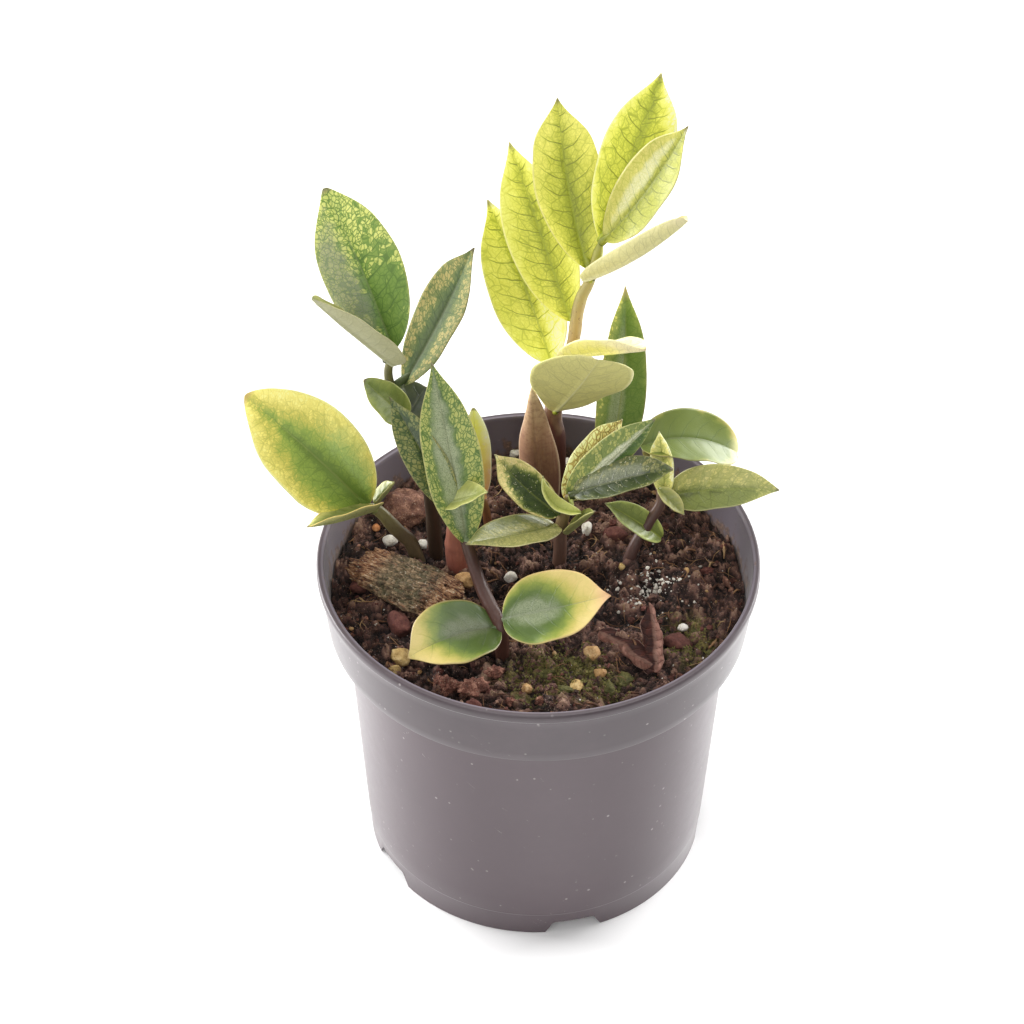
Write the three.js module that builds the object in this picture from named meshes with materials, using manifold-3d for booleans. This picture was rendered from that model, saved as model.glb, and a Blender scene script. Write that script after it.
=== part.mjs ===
// Chameleon ZZ plant in a plain 12 cm nursery pot. Millimetres, +Z up, the front of the plant faces -Y.
// The pot stands on z = 0 with its axis on Z. Each frond, its stem and leaflets together, is one solid.
import * as THREE from "three";
import { mergeVertices } from "three/addons/utils/BufferGeometryUtils.js";
import Module from "manifold-3d";

const wasm = await Module();
wasm.setup();

// Driving sizes of the pot
const RIM_RADIUS = 60;
const POT_HEIGHT = 100;
const COLLAR_Z = 80.5;
const COLLAR_RADIUS = 57.4;
const BODY_TOP_RADIUS = 52.5;
const FOOT_LINE_Z = 8.1;
const FOOT_LINE_RADIUS = 47.9;
const FOOT_RADIUS = 47.3;
const WALL = 1.4;
const FOOT_NOTCHES = 5;
const FIRST_NOTCH_DEG = 13;
const NOTCH_WIDTH = 16;
const NOTCH_TOP_WIDTH = 11;
const NOTCH_HEIGHT = 4.4;
const FLOOR_RAISE = 4.8;
const FLOOR_DISC_RADIUS = 30;
const POT_SIDES = 40;
const SOIL_SIDES = 32;
const SOIL_RINGS = 7;

// Driving sizes of the soil and of what stands in it
const SOIL_Z = 87;
const CLEARANCE = 0.35;
const SMALL_LUMP = 2.7;
const STEM_FOOT_Z = 79;
const LEAST_BODY = 0.01;

// Driving sizes of the leaflets: a blade's thickness, and its grid of stations along and lines across
const BLADE_THICKNESS = 0.8;
const STATIONS = 8;
const LINES_ACROSS = 5;
const BLADE_START = 0.02;
const BLADE_END = 0.99;
const STEM_SIDES = 7;
const STEPS_PER_POINT = 1.6;
const STALK_SIDES = 5;

// Colours
const POT_GREY = 0x766a6e;
const SOIL_BROWN = 0x32201e;
const LEAF_YELLOW = 0xc3cb5b;
const LEAF_GREEN = 0x6f8a45;
const LEAF_PALE = 0x9aa05e;
const SHEATH_TAN = 0x9b7b68;
const SPROUT_PINK = 0x8a5551;
const BARK_BROWN = 0x6b5a3c;
const CLOD_BROWN = 0x5a3a2c;
const STONE_TAN = 0xb79a72;
const PERLITE_WHITE = 0xe6e2dc;
const DEAD_LEAF_BROWN = 0x6a4036;

const radians = THREE.MathUtils.degToRad;
const vec = (p) => new THREE.Vector3(...p);
const pair = (x) => (Array.isArray(x) ? x : [x, x]);

// A small repeatable random source, one for each seed
function randomSource(seed) {
  let state = seed * 2654435761;
  return () => {
    state = (Math.imul(state ^ (state >>> 15), 2246822519) + 3266489917) >>> 0;
    return state / 4294967296;
  };
}

// Turns a closed geometry into a solid for joining and cutting.
function solidFrom(geometry) {
  const bare = geometry.index ? geometry.toNonIndexed() : geometry.clone();
  bare.deleteAttribute("normal");
  bare.deleteAttribute("uv");
  const merged = mergeVertices(bare, 1e-4);
  const index = merged.index.array;
  const kept = [];
  for (let i = 0; i < index.length; i += 3) {
    const [a, b, c] = [index[i], index[i + 1], index[i + 2]];
    if (a !== b && b !== c && a !== c) kept.push(a, b, c);
  }
  const vertProperties = new Float32Array(merged.attributes.position.array);
  return new wasm.Manifold(
    new wasm.Mesh({ numProp: 3, vertProperties, triVerts: new Uint32Array(kept) }),
  );
}

function meshFrom(name, solid, color, roughness) {
  const { vertProperties, triVerts } = solid.getMesh();
  const geometry = new THREE.BufferGeometry();
  geometry.setAttribute("position", new THREE.BufferAttribute(vertProperties, 3));
  geometry.setIndex(new THREE.BufferAttribute(triVerts, 1));
  geometry.computeVertexNormals();
  const material = new THREE.MeshStandardMaterial({ color, roughness, metalness: 0 });
  const mesh = new THREE.Mesh(geometry, material);
  mesh.name = name;
  return mesh;
}

// Joins solids that touch or cross into one, and fills any pocket shut in between them.
function union(solids) {
  const joined = solids.reduce((sum, solid) => sum.add(solid));
  const bodies = joined.decompose().filter((body) => body.volume() > LEAST_BODY);
  return bodies.reduce((sum, body) => sum.add(body));
}

function cutAll(solid, cutters) {
  return cutters.reduce((left, cutter) => left.subtract(cutter), solid);
}

function turned(profile, sides) {
  const points = profile.map(([radius, z]) => new THREE.Vector2(radius, z));
  const geometry = new THREE.LatheGeometry(points, sides);
  geometry.rotateX(Math.PI / 2);
  return solidFrom(geometry);
}

// Pot: wall with a stepped collar and a thick rim, foot skirt with notches, floor with a low middle
function innerRadius(z) {
  const share = (z - FOOT_LINE_Z) / (COLLAR_Z - FOOT_LINE_Z);
  if (z <= COLLAR_Z) {
    return THREE.MathUtils.lerp(FOOT_LINE_RADIUS, BODY_TOP_RADIUS, share) - WALL;
  }
  const up = (z - COLLAR_Z) / (POT_HEIGHT - COLLAR_Z);
  return THREE.MathUtils.lerp(COLLAR_RADIUS, RIM_RADIUS - 0.6, up) - WALL;
}

function potProfile() {
  const floorTop = FLOOR_RAISE + WALL;
  return [
    [0, 0],
    [FLOOR_DISC_RADIUS, 0],
    [FLOOR_DISC_RADIUS + 3, FLOOR_RAISE],
    [FOOT_RADIUS - WALL - 1.5, FLOOR_RAISE],
    [FOOT_RADIUS - WALL, 0],
    [FOOT_RADIUS, 0],
    [FOOT_LINE_RADIUS - 0.2, FOOT_LINE_Z - 0.3],
    [FOOT_LINE_RADIUS, FOOT_LINE_Z],
    [BODY_TOP_RADIUS, COLLAR_Z - 0.6],
    [COLLAR_RADIUS - 0.4, COLLAR_Z],
    [COLLAR_RADIUS, COLLAR_Z + 0.5],
    [RIM_RADIUS - 0.7, POT_HEIGHT - 3],
    [RIM_RADIUS, POT_HEIGHT - 2.4],
    [RIM_RADIUS, POT_HEIGHT - 0.8],
    [RIM_RADIUS - 0.7, POT_HEIGHT],
    [RIM_RADIUS - 1.6, POT_HEIGHT],
    [RIM_RADIUS - 2.2, POT_HEIGHT - 0.8],
    [innerRadius(POT_HEIGHT - 3), POT_HEIGHT - 3],
    [innerRadius(COLLAR_Z + 1.5), COLLAR_Z + 1.5],
    [innerRadius(COLLAR_Z), COLLAR_Z - 0.5],
    [innerRadius(FOOT_LINE_Z + 1), FOOT_LINE_Z + 1],
    [FOOT_LINE_RADIUS - WALL - 2.2, floorTop],
    [FLOOR_DISC_RADIUS + 2, floorTop],
    [FLOOR_DISC_RADIUS - 1, WALL],
    [0, WALL],
  ];
}

function footNotch(turnDeg) {
  const outline = new THREE.Shape([
    new THREE.Vector2(-NOTCH_WIDTH / 2 - 1, -1),
    new THREE.Vector2(NOTCH_WIDTH / 2 + 1, -1),
    new THREE.Vector2(NOTCH_TOP_WIDTH / 2, NOTCH_HEIGHT),
    new THREE.Vector2(-NOTCH_TOP_WIDTH / 2, NOTCH_HEIGHT),
  ]);
  const block = new THREE.ExtrudeGeometry(outline, { depth: 8, bevelEnabled: false });
  block.rotateX(Math.PI / 2);
  block.translate(0, 4 - FOOT_RADIUS, 0);
  block.rotateZ(radians(turnDeg));
  return solidFrom(block);
}

function makePot() {
  const notches = [];
  for (let i = 0; i < FOOT_NOTCHES; i++) {
    notches.push(footNotch(FIRST_NOTCH_DEG + (i * 360) / FOOT_NOTCHES));
  }
  return cutAll(turned(potProfile(), POT_SIDES), notches);
}

// Soil: fills the pot to below the rim, its top raised in low waves and mounds
function soilHeight(x, y) {
  const waves =
    0.9 * Math.sin(0.17 * x + 0.8) * Math.cos(0.15 * y - 0.4) +
    0.7 * Math.sin(0.31 * x - 0.23 * y + 2.1) +
    0.5 * Math.cos(0.12 * x + 0.42 * y);
  const frontMound = 1.6 * Math.exp(-((x - 8) ** 2 + (y + 34) ** 2) / 220);
  const rightMound = 1.4 * Math.exp(-((x - 32) ** 2 + (y - 4) ** 2) / 160);
  return SOIL_Z + waves + frontMound + rightMound;
}

function makeSoil(cutters) {
  const gap = CLEARANCE;
  const floorTop = FLOOR_RAISE + WALL + gap;
  const outer = innerRadius(SOIL_Z) - gap;
  const profile = [
    [0, WALL + gap],
    [FLOOR_DISC_RADIUS - 1.4, WALL + gap],
    [FLOOR_DISC_RADIUS + 1.8, floorTop],
    [FOOT_LINE_RADIUS - WALL - 2.6, floorTop],
    [innerRadius(FOOT_LINE_Z + 1) - gap, FOOT_LINE_Z + 1.2],
    [innerRadius(COLLAR_Z) - gap, COLLAR_Z - 0.2],
    [innerRadius(COLLAR_Z + 1.5) - gap, COLLAR_Z + 1.9],
  ];
  for (let i = 0; i <= SOIL_RINGS; i++) {
    profile.push([outer * (1 - i / SOIL_RINGS), SOIL_Z]);
  }
  const points = profile.map(([radius, z]) => new THREE.Vector2(radius, z));
  const geometry = new THREE.LatheGeometry(points, SOIL_SIDES);
  geometry.rotateX(Math.PI / 2);
  const place = geometry.attributes.position;
  for (let i = 0; i < place.count; i++) {
    if (place.getZ(i) > SOIL_Z - 0.01) {
      place.setZ(i, soilHeight(place.getX(i), place.getY(i)));
    }
  }
  return cutAll(solidFrom(geometry), cutters);
}

// A closed tapering tube along a smooth path; each point is [x, y, z, radius].
function taperedTube(points, { grow = 0, steps, sides = STEM_SIDES } = {}) {
  steps ??= Math.round(points.length * STEPS_PER_POINT);
  const curve = new THREE.CatmullRomCurve3(points.map((p) => vec(p.slice(0, 3))), false, "centripetal");
  const frames = curve.computeFrenetFrames(steps, false);
  const positions = [];
  const indices = [];
  for (let i = 0; i <= steps; i++) {
    const along = (i / steps) * (points.length - 1);
    const k = Math.min(Math.floor(along), points.length - 2);
    const radius = THREE.MathUtils.lerp(points[k][3], points[k + 1][3], along - k) + grow;
    const centre = curve.getPoint(i / steps);
    for (let j = 0; j < sides; j++) {
      const angle = (j / sides) * 2 * Math.PI;
      const spot = centre
        .clone()
        .addScaledVector(frames.normals[i], radius * Math.cos(angle))
        .addScaledVector(frames.binormals[i], radius * Math.sin(angle));
      positions.push(spot.x, spot.y, spot.z);
    }
  }
  for (let i = 0; i < steps; i++) {
    for (let j = 0; j < sides; j++) {
      const a = i * sides + j;
      const b = i * sides + ((j + 1) % sides);
      indices.push(a, b, a + sides, b, b + sides, a + sides);
    }
  }
  const last = steps * sides;
  for (let j = 1; j < sides - 1; j++) {
    indices.push(0, j + 1, j, last, last + j, last + j + 1);
  }
  const geometry = new THREE.BufferGeometry();
  geometry.setAttribute("position", new THREE.Float32BufferAttribute(positions, 3));
  geometry.setIndex(indices);
  return solidFrom(geometry);
}

// A leaflet. base and tip are the ends of its midrib, and bow is how far the midrib's middle leaves the
// straight line between them. width is its half width, face is where its upper side looks, fold and curl
// are the angles in degrees at which its halves rise from the midrib and go on turning towards the edge,
// and shape is where the outline swells: the first number rounds the base, the second the tip. A pair
// gives the left and the right half, seen from the upper side with the tip ahead.
function leaf(base, tip, bow, width, face, fold, curl, shape = [0.7, 0.7]) {
  return {
    base: vec(base),
    tip: vec(tip),
    bow: vec(bow),
    width: pair(width),
    face: vec(face).normalize(),
    fold: pair(fold),
    curl: pair(curl),
    shape,
  };
}

function midribOf({ base, tip, bow }) {
  const control = base.clone().add(tip).multiplyScalar(0.5).addScaledVector(bow, 2);
  return new THREE.QuadraticBezierCurve3(base, control, tip);
}

function outlineShare(t, [baseRound, tipRound]) {
  const peak = baseRound / (baseRound + tipRound);
  const most = peak ** baseRound * (1 - peak) ** tipRound;
  return (t ** baseRound * (1 - t) ** tipRound) / most;
}

// The point and the upper side's normal at t along the midrib and s across, from -1 to 1.
function bladePoint(blade, midrib, t, s) {
  const side = s < 0 ? 0 : 1;
  const forward = midrib.getTangent(t);
  const across = new THREE.Vector3().crossVectors(forward, blade.face).normalize();
  const up = new THREE.Vector3().crossVectors(across, forward);
  const fold = radians(blade.fold[side]);
  const curl = radians(blade.curl[side]);
  const reach = Math.abs(s);
  const angle = fold + curl * reach;
  const out = (Math.sin(angle) - Math.sin(fold)) / curl;
  const rise = (Math.cos(fold) - Math.cos(angle)) / curl;
  const half = blade.width[side] * outlineShare(t, blade.shape);
  const sign = Math.sign(s);
  const point = midrib
    .getPoint(t)
    .addScaledVector(across, half * out * sign)
    .addScaledVector(up, half * rise);
  const lean = s === 0 ? 0 : angle;
  const normal = across.multiplyScalar(-Math.sin(lean) * sign).addScaledVector(up, Math.cos(lean));
  return { point, normal };
}

// A closed blade of even thickness, its two faces split into the same triangles
function bladeSolid(blade, grow = 0) {
  const midrib = midribOf(blade);
  const positions = [];
  const indices = [];
  const half = BLADE_THICKNESS / 2 + grow;
  for (const offset of [half, -half]) {
    for (let i = 0; i < STATIONS; i++) {
      const eased = 0.5 - 0.5 * Math.cos((Math.PI * i) / (STATIONS - 1));
      const even = i / (STATIONS - 1);
      const t = THREE.MathUtils.lerp(BLADE_START, BLADE_END, (eased + even) / 2);
      for (let j = 0; j < LINES_ACROSS; j++) {
        const s = (2 * j) / (LINES_ACROSS - 1) - 1;
        const { point, normal } = bladePoint(blade, midrib, t, s);
        point.addScaledVector(normal, offset);
        positions.push(point.x, point.y, point.z);
      }
    }
  }
  const under = STATIONS * LINES_ACROSS;
  const at = (i, j) => i * LINES_ACROSS + j;
  for (let i = 0; i < STATIONS - 1; i++) {
    for (let j = 0; j < LINES_ACROSS - 1; j++) {
      const [a, b, c, d] = [at(i, j), at(i, j + 1), at(i + 1, j + 1), at(i + 1, j)];
      indices.push(a, b, c, a, c, d);
      indices.push(under + a, under + c, under + b, under + a, under + d, under + c);
    }
  }
  const rim = [];
  for (let j = 0; j < LINES_ACROSS - 1; j++) rim.push(at(0, j));
  for (let i = 0; i < STATIONS - 1; i++) rim.push(at(i, LINES_ACROSS - 1));
  for (let j = LINES_ACROSS - 1; j > 0; j--) rim.push(at(STATIONS - 1, j));
  for (let i = STATIONS - 1; i > 0; i--) rim.push(at(i, 0));
  rim.forEach((a, k) => {
    const b = rim[(k + 1) % rim.length];
    indices.push(a, under + a, under + b, a, under + b, b);
  });
  const geometry = new THREE.BufferGeometry();
  geometry.setAttribute("position", new THREE.Float32BufferAttribute(positions, 3));
  geometry.setIndex(indices);
  return solidFrom(geometry);
}

// The hollow that a blade leaves in the soil: the blade made larger all round and let down a little
function bladeHole(blade) {
  const larger = { ...blade, width: blade.width.map((half) => half + CLEARANCE) };
  return bladeSolid(larger, CLEARANCE).translate([0, 0, -CLEARANCE]);
}

// The short stalk between the stem and a leaflet's base, sunk into both
function leafStalk(stem, blade) {
  const curve = new THREE.CatmullRomCurve3(stem.map((p) => vec(p.slice(0, 3))), false, "centripetal");
  const nearest = curve
    .getPoints(60)
    .reduce((best, p) => (p.distanceTo(blade.base) < best.distanceTo(blade.base) ? p : best));
  const inside = midribOf(blade).getPoint(0.12);
  const radius = Math.min(1.3, 0.16 * blade.width[0] + 0.3);
  const ends = [
    [...nearest.toArray(), radius],
    [...inside.toArray(), radius * 0.6],
  ];
  return taperedTube(ends, { steps: 1, sides: STALK_SIDES });
}

function makeFrond({ stem, leaves }) {
  const solids = [taperedTube(stem)];
  for (const blade of leaves) {
    solids.push(leafStalk(stem, blade), bladeSolid(blade));
  }
  return union(solids);
}

// A stone, clod or bark piece: a ball drawn out to three half sizes, made uneven, turned about Z
function lump({ at, half, turn = 0, tilt = 0, rough = 0.12, seed = 1, detail = 1 }, grow = 0) {
  const random = randomSource(seed);
  const phases = [random(), random(), random()].map((r) => r * 6.28);
  const small = Math.max(...half) < SMALL_LUMP;
  const geometry = small ? new THREE.OctahedronGeometry(1, 1) : new THREE.IcosahedronGeometry(1, detail);
  const place = geometry.attributes.position;
  for (let i = 0; i < place.count; i++) {
    const p = new THREE.Vector3().fromBufferAttribute(place, i);
    const uneven =
      Math.sin(4.1 * p.x + phases[0]) + Math.sin(5.3 * p.y + phases[1]) + Math.sin(4.7 * p.z + phases[2]);
    p.multiplyScalar(1 + (rough * uneven) / 2);
    place.setXYZ(i, p.x * (half[0] + grow), p.y * (half[1] + grow), p.z * (half[2] + grow));
  }
  geometry.rotateY(radians(tilt));
  geometry.rotateZ(radians(turn));
  geometry.translate(...at);
  return solidFrom(geometry);
}

// Shoot A: the tall yellow-green frond at the back
const FROND_A = {
  stem: [
    [4.5, 40, STEM_FOOT_Z, 3],
    [5, 41, 106, 2.7],
    [4, 43, 114.5, 2.5],
    [6.5, 44, 126, 2.1],
    [9, 46, 136, 1.8],
    [11, 48, 150.5, 1.65],
    [13.5, 49, 156.5, 1.5],
    [16.2, 50.7, 168, 1.3],
  ],
  leaves: [
    leaf([4, 42, 115], [15.5, 24, 149.5], [0, 0, -1], 14, [0.04, 0.8, 0.45], 4, 8, [1, 0.55]),
    leaf([5, 45, 132.5], [28, 22, 154.5], [0, 0, 0.4], 7.5, [0, 0.45, 0.9], [18, 30], 10, [0.8, 0.6]),
    leaf([3.5, 45, 130], [-14.5, 66, 170.5], [1, 1, -1], 10.3, [-0.15, -0.75, 0.6], 8, 18, [0.68, 0.8]),
    leaf([8.5, 47, 143.5], [-8.5, 66, 190], [0, 1, -1], 9.6, [-0.2, -0.7, 0.6], 8, 22, [0.75, 0.8]),
    leaf([12.5, 50, 159.5], [4, 66, 204.5], [-1.2, 1, 0], 9.5, [0.1, -0.75, 0.6], 4, 15, [0.8, 0.72]),
    leaf([11.5, 48, 157], [38, 32, 190], [0, 0, -2.2], 5.4, [-0.3, 0.5, 0.7], [25, 35], 42, [0.4, 0.36]),
    leaf([16, 51, 168.5], [31.5, 68, 211], [0.6, 0, 0], 9.9, [0.2, -0.75, 0.6], 6, 12, [0.78, 0.72]),
    leaf([17, 50, 169.5], [37.5, 42, 213], [1, -1, -1], 8.6, [-0.5, -0.4, 0.7], [20, 3], [25, 10]),
  ],
};

// Shoot B: the mottled green frond at the left
const FROND_B = {
  stem: [
    [-27.8, 15.4, STEM_FOOT_Z, 2.1],
    [-29, 14.6, 105, 2],
    [-31, 14, 122.5, 1.7],
    [-36, 15, 137.5, 1.4],
    [-40, 16, 150, 1.2],
    [-38.7, 16.5, 158, 0.9],
  ],
  leaves: [
    leaf([-35.5, 14, 137], [-46, 6, 157], [0, 0, 0], 5, [0.1, -0.6, 0.7], 10, 20, [0.45, 0.6]),
    leaf([-36, 15, 135.5], [-30.5, 26, 138], [0, 0, 0], 6, [0, -0.6, 0.7], 10, 20, [0.5, 0.5]),
    leaf([-38.5, 14, 155.5], [-58, 0, 189], [0, 0, 0], 8, [0.3, 0.45, 0.85], [15, 20], 20, [0.35, 0.6]),
    leaf([-36, 16, 147], [-17.5, 26, 185.5], [1.2, 1, 0], 8.2, [-0.5, -0.5, 0.6], [3, 12], 12, [0.7, 0.7]),
    leaf([-38.5, 16, 159], [-55.5, 26, 204.5], [0.3, 1, 0], 10.9, [0.1, -0.75, 0.6], 10, 10, [0.66, 0.66]),
  ],
};

// Shoot C: the frond in front of it, with a low pair of broad leaflets
const FROND_C = {
  stem: [
    [-9.5, -25, STEM_FOOT_Z, 1.9],
    [-9.7, -24.5, 90, 1.9],
    [-10, -23.5, 96.5, 1.9],
    [-12, -20, 98.5, 1.9],
    [-15, -14, 101.5, 1.8],
    [-18.5, -6, 107.5, 1.7],
    [-21, -1, 113.5, 1.5],
    [-23, 0, 118, 1.2],
  ],
  leaves: [
    leaf([-10.5, -23.5, 96.5], [-34.5, -36, 97], [0, 0, 2.4], 10.4, [0, -0.2, 1], 6, 10, [0.55, 0.64]),
    leaf([-9.5, -23.5, 99.5], [19, -24, 109], [0, 0, -0.4], 11, [0, -0.3, 1], 6, 10, [0.45, 0.64]),
    leaf([-19, -5, 109], [-28.5, 12, 158.5], [0.3, -1, 0], 8.2, [0.15, -0.8, 0.6], 11, 15, [0.75, 0.8]),
    leaf([-23, 0, 117.5], [-39.5, 8, 150], [0.9, -1, 0], 5.8, [-0.2, -0.8, 0.6], 12, 12, [0.6, 0.7]),
    leaf([-24.5, -1, 120.5], [-13.5, -8, 131], [0, 0, 0], [5.5, 3.5], [-0.1, -0.3, 0.9], 10, 10, [0.3, 0.9]),
  ],
};

// Shoot E: the frond that reaches out over the rim at the left
const FROND_E = {
  stem: [
    [-31.6, 10.8, STEM_FOOT_Z, 2.1],
    [-34.5, 11.8, 93, 2],
    [-39, 11.5, 99.5, 1.9],
    [-43.5, 12, 105.5, 1.6],
    [-46.5, 12, 107, 1.2],
  ],
  leaves: [
    leaf([-46.5, 12, 107], [-77.5, 8, 150], [0, 0, 1.2], 13.4, [-0.1, -0.5, 0.8], 8, 15, [0.58, 0.66]),
    leaf([-43.5, 10, 108.5], [-61.5, -8, 118], [0, 0, -0.5], 6.5, [0, 0.5, 0.85], [25, 10], 12, [0.35, 0.8]),
    leaf([-44.5, 12, 108], [-39, 14, 114.5], [0, 0, 0], 3, [-0.4, 0.1, 0.8], 20, 15, [0.5, 0.6]),
  ],
};

// Shoot F: the low rosette in the middle
const FROND_F = {
  stem: [
    [5.5, 10, STEM_FOOT_Z, 2],
    [6, 11, 94, 1.9],
    [6, 12, 99, 1.8],
    [8, 13, 108, 1.5],
    [8.6, 12.5, 111, 1.2],
  ],
  leaves: [
    leaf([5.5, 12, 104.5], [-12, 14, 124.5], [-1, 0, -0.5], 5.6, [0.1, -0.6, 0.8], 12, 15, [0.55, 0.6]),
    leaf([5, 12, 100.5], [-19.5, -12, 116], [0, -1.5, 0.8], 6.4, [0, -0.15, 1], 10, 10, [0.5, 0.8]),
    leaf([11.5, 8, 109], [1, 6, 124], [-2.4, 0, -3.4], 2.6, [0, -0.4, 1], 25, 30, [0.55, 0.7]),
    leaf([7.5, 15, 107], [22.5, 26, 127], [0, 0, 1], 6, [0.3, -0.5, 0.8], 12, 15, [0.6, 0.7]),
    leaf([8, 13, 109.5], [31, 18, 134], [0.2, 0, 0], [6, 3.6], [0.1, -0.5, 0.9], [14, 2], 15, [0.55, 0.7]),
    leaf([9.5, 12, 112], [36, 10, 123], [0, 0, 1], 6.2, [0, -0.3, 1], 14, 15, [0.5, 0.62]),
    leaf([7.5, 11, 98.5], [15, 5, 112.5], [0, 0, 0], 3.2, [0, -0.1, 1], 20, 20, [0.55, 0.7]),
  ],
};

// Shoot G: the spreading frond at the right
const FROND_G = {
  stem: [
    [23.5, 10, STEM_FOOT_Z, 1.8],
    [26, 13, 90.5, 1.7],
    [29.5, 16, 96.5, 1.6],
    [33.5, 19, 103.5, 1.4],
    [32, 24, 110, 1.2],
    [28.5, 26, 116, 1],
  ],
  leaves: [
    leaf([34, 16, 92], [18, 14, 107], [0, 0, 0.6], 4.2, [0, -0.5, 0.9], 14, 15, [0.5, 0.7]),
    leaf([32.5, 17, 110], [39.5, 10, 106.5], [0, 0, 0], 2.6, [0, -0.3, 1], 20, 20, [0.6, 0.7]),
    leaf([35.5, 20, 104.5], [65, 12, 114], [0, 0, 1.4], 7, [0, -0.5, 0.9], 14, 10, [0.5, 0.82]),
    leaf([34.5, 18, 106], [32.5, 26, 122.5], [0.3, 0, 0], 3.6, [-0.3, -0.6, 0.7], 15, 15, [0.6, 0.7]),
    leaf([27.5, 26, 117], [55, 34, 107.5], [0, 0, 4.2], 8.6, [0, -0.4, 1], 10, 15, [0.5, 0.46]),
  ],
};

// Shoots H and I: single upright leaflets behind
const FROND_H = {
  stem: [
    [18.5, 42.5, STEM_FOOT_Z, 1.9],
    [19, 43, 88, 1.8],
    [20, 44, 94.5, 1.5],
  ],
  leaves: [
    leaf([20, 44, 93], [23.5, 62, 144.5], [1.6, 0, 0], 7.1, [0.1, -0.75, 0.6], [8, 12], 10, [0.55, 0.85]),
  ],
};

const FROND_I = {
  stem: [
    [-13.5, 27, STEM_FOOT_Z, 1.3],
    [-14, 27, 88.5, 1.2],
    [-15, 26.5, 97, 1],
  ],
  leaves: [
    leaf([-15.5, 26, 97], [-18, 36, 122], [-0.3, 0, 0], 4.3, [0.1, -0.75, 0.6], 14, 24, [0.6, 0.5]),
  ],
};

const FRONDS = [
  ["frond_a", FROND_A, LEAF_YELLOW],
  ["frond_b", FROND_B, LEAF_GREEN],
  ["frond_c", FROND_C, LEAF_GREEN],
  ["frond_e", FROND_E, LEAF_PALE],
  ["frond_f", FROND_F, LEAF_GREEN],
  ["frond_g", FROND_G, LEAF_PALE],
  ["frond_h", FROND_H, LEAF_GREEN],
  ["frond_i", FROND_I, LEAF_PALE],
];

// The papery sheath at the foot of shoot A, curved round its stem
const SHEATH_A = leaf(
  [0.8, 32.5, 84],
  [-1.8, 39.4, 127],
  [0, -0.6, 0],
  [7.5, 6.8],
  [-0.1, -1, 0.2],
  0,
  [-70, -48],
  [0.45, 1],
);

// The swollen pink sprout beside shoot C
const SPROUT_C = [
  [-21.8, 9, STEM_FOOT_Z, 2.6],
  [-21.9, 9, 88, 3.1],
  [-22.2, 8.6, 94, 3.2],
  [-22.5, 8, 101, 2.6],
  [-22.7, 7.4, 107, 1.7],
  [-22.8, 7, 112, 0.6],
];

// The crumpled dead leaf that lies on the soil: two arms that meet at a sharp bend
const BLUNT = [0.3, 0.5];
const DEAD_LEAF = [
  leaf([16.5, -18.5, 90.5], [32, -32.4, 89], [0, 0, 0.6], [4.6, 2.8], [0.1, -0.2, 1], [-8, -48], -14, BLUNT),
  leaf([31, -33, 89.5], [29.5, -12, 95], [0.8, 0, 0], [5, 3], [-0.1, -0.2, 1], [-30, -40], -16, BLUNT),
];

// Larger pieces that lie half sunk in the soil
const BARK = [
  ["bark_chunk", { at: [-35.6, -0.6, 89.5], half: [15.5, 8.4, 4.4], turn: -30, tilt: 2, seed: 3, detail: 3 }],
  ["bark_bit_left", { at: [-25, -37, 88], half: [3.2, 3.4, 2.4], turn: 30, seed: 8 }],
  ["bark_bit_right", { at: [-17, -38, 88], half: [4, 3, 2.2], turn: 15, seed: 9 }],
];

const CLODS = [
  ["clod", { at: [-37, 31, 89], half: [6, 7, 4], turn: 20, seed: 5 }],
  ["clod_red_left", { at: [-37.6, -13.9, 88.2], half: [2.8, 4.6, 3], turn: 20, seed: 6 }],
  ["clod_red_right", { at: [21, 21.5, 88], half: [4.2, 2.6, 2.4], turn: -10, seed: 7 }],
];

const PEBBLES = [
  ["pebble_tan", { at: [-19.8, 2.2, 89], half: [2.8, 2.4, 2.3], seed: 10 }],
  ["pebble_yellow", { at: [-37, -26.5, 88], half: [2.6, 3.4, 2.2], turn: 20, seed: 11 }],
  ["pebble_front_a", { at: [14.5, -25.5, 89], half: [2.4, 2.6, 2], seed: 12 }],
  ["pebble_front_b", { at: [16.5, -33, 89], half: [1.8, 1.6, 1.4], seed: 13 }],
  ["pebble_front_c", { at: [10, -38, 89], half: [2.65, 1.7, 1.5], turn: 66, seed: 14 }],
  ["pebble_front_d", { at: [-3, -38.5, 88.5], half: [1.6, 1.6, 1.4], seed: 15 }],
];

const PERLITE = [
  ["perlite_left", { at: [-40.8, 18.4, 88.5], half: [2, 1.9, 1.8], seed: 16 }],
  ["perlite_mid", { at: [-7.5, 4, 88.5], half: [1.8, 1.7, 1.6], seed: 17 }],
  ["perlite_right", { at: [13.6, 23, 88.8], half: [1.6, 2, 2.4], seed: 18 }],
];

const LUMPS = [
  [BARK, BARK_BROWN],
  [CLODS, CLOD_BROWN],
  [PEBBLES, STONE_TAN],
  [PERLITE, PERLITE_WHITE],
];

const plant = new THREE.Group();
const holes = [];

for (const [name, frond, color] of FRONDS) {
  plant.add(meshFrom(name, makeFrond(frond), color, 0.45));
  const foot = frond.stem.slice(0, 3).map((p) => [...p]);
  foot[0][2] -= CLEARANCE;
  holes.push(taperedTube(foot, { grow: CLEARANCE }));
}

for (const [pieces, color] of LUMPS) {
  for (const [name, shape] of pieces) {
    plant.add(meshFrom(name, lump(shape), color, 0.9));
    holes.push(lump(shape, CLEARANCE));
  }
}

const sprout = taperedTube(SPROUT_C);
const sproutHole = SPROUT_C.map((p) => [...p]);
sproutHole[0][2] -= CLEARANCE;
holes.push(taperedTube(sproutHole, { grow: CLEARANCE }));

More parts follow.
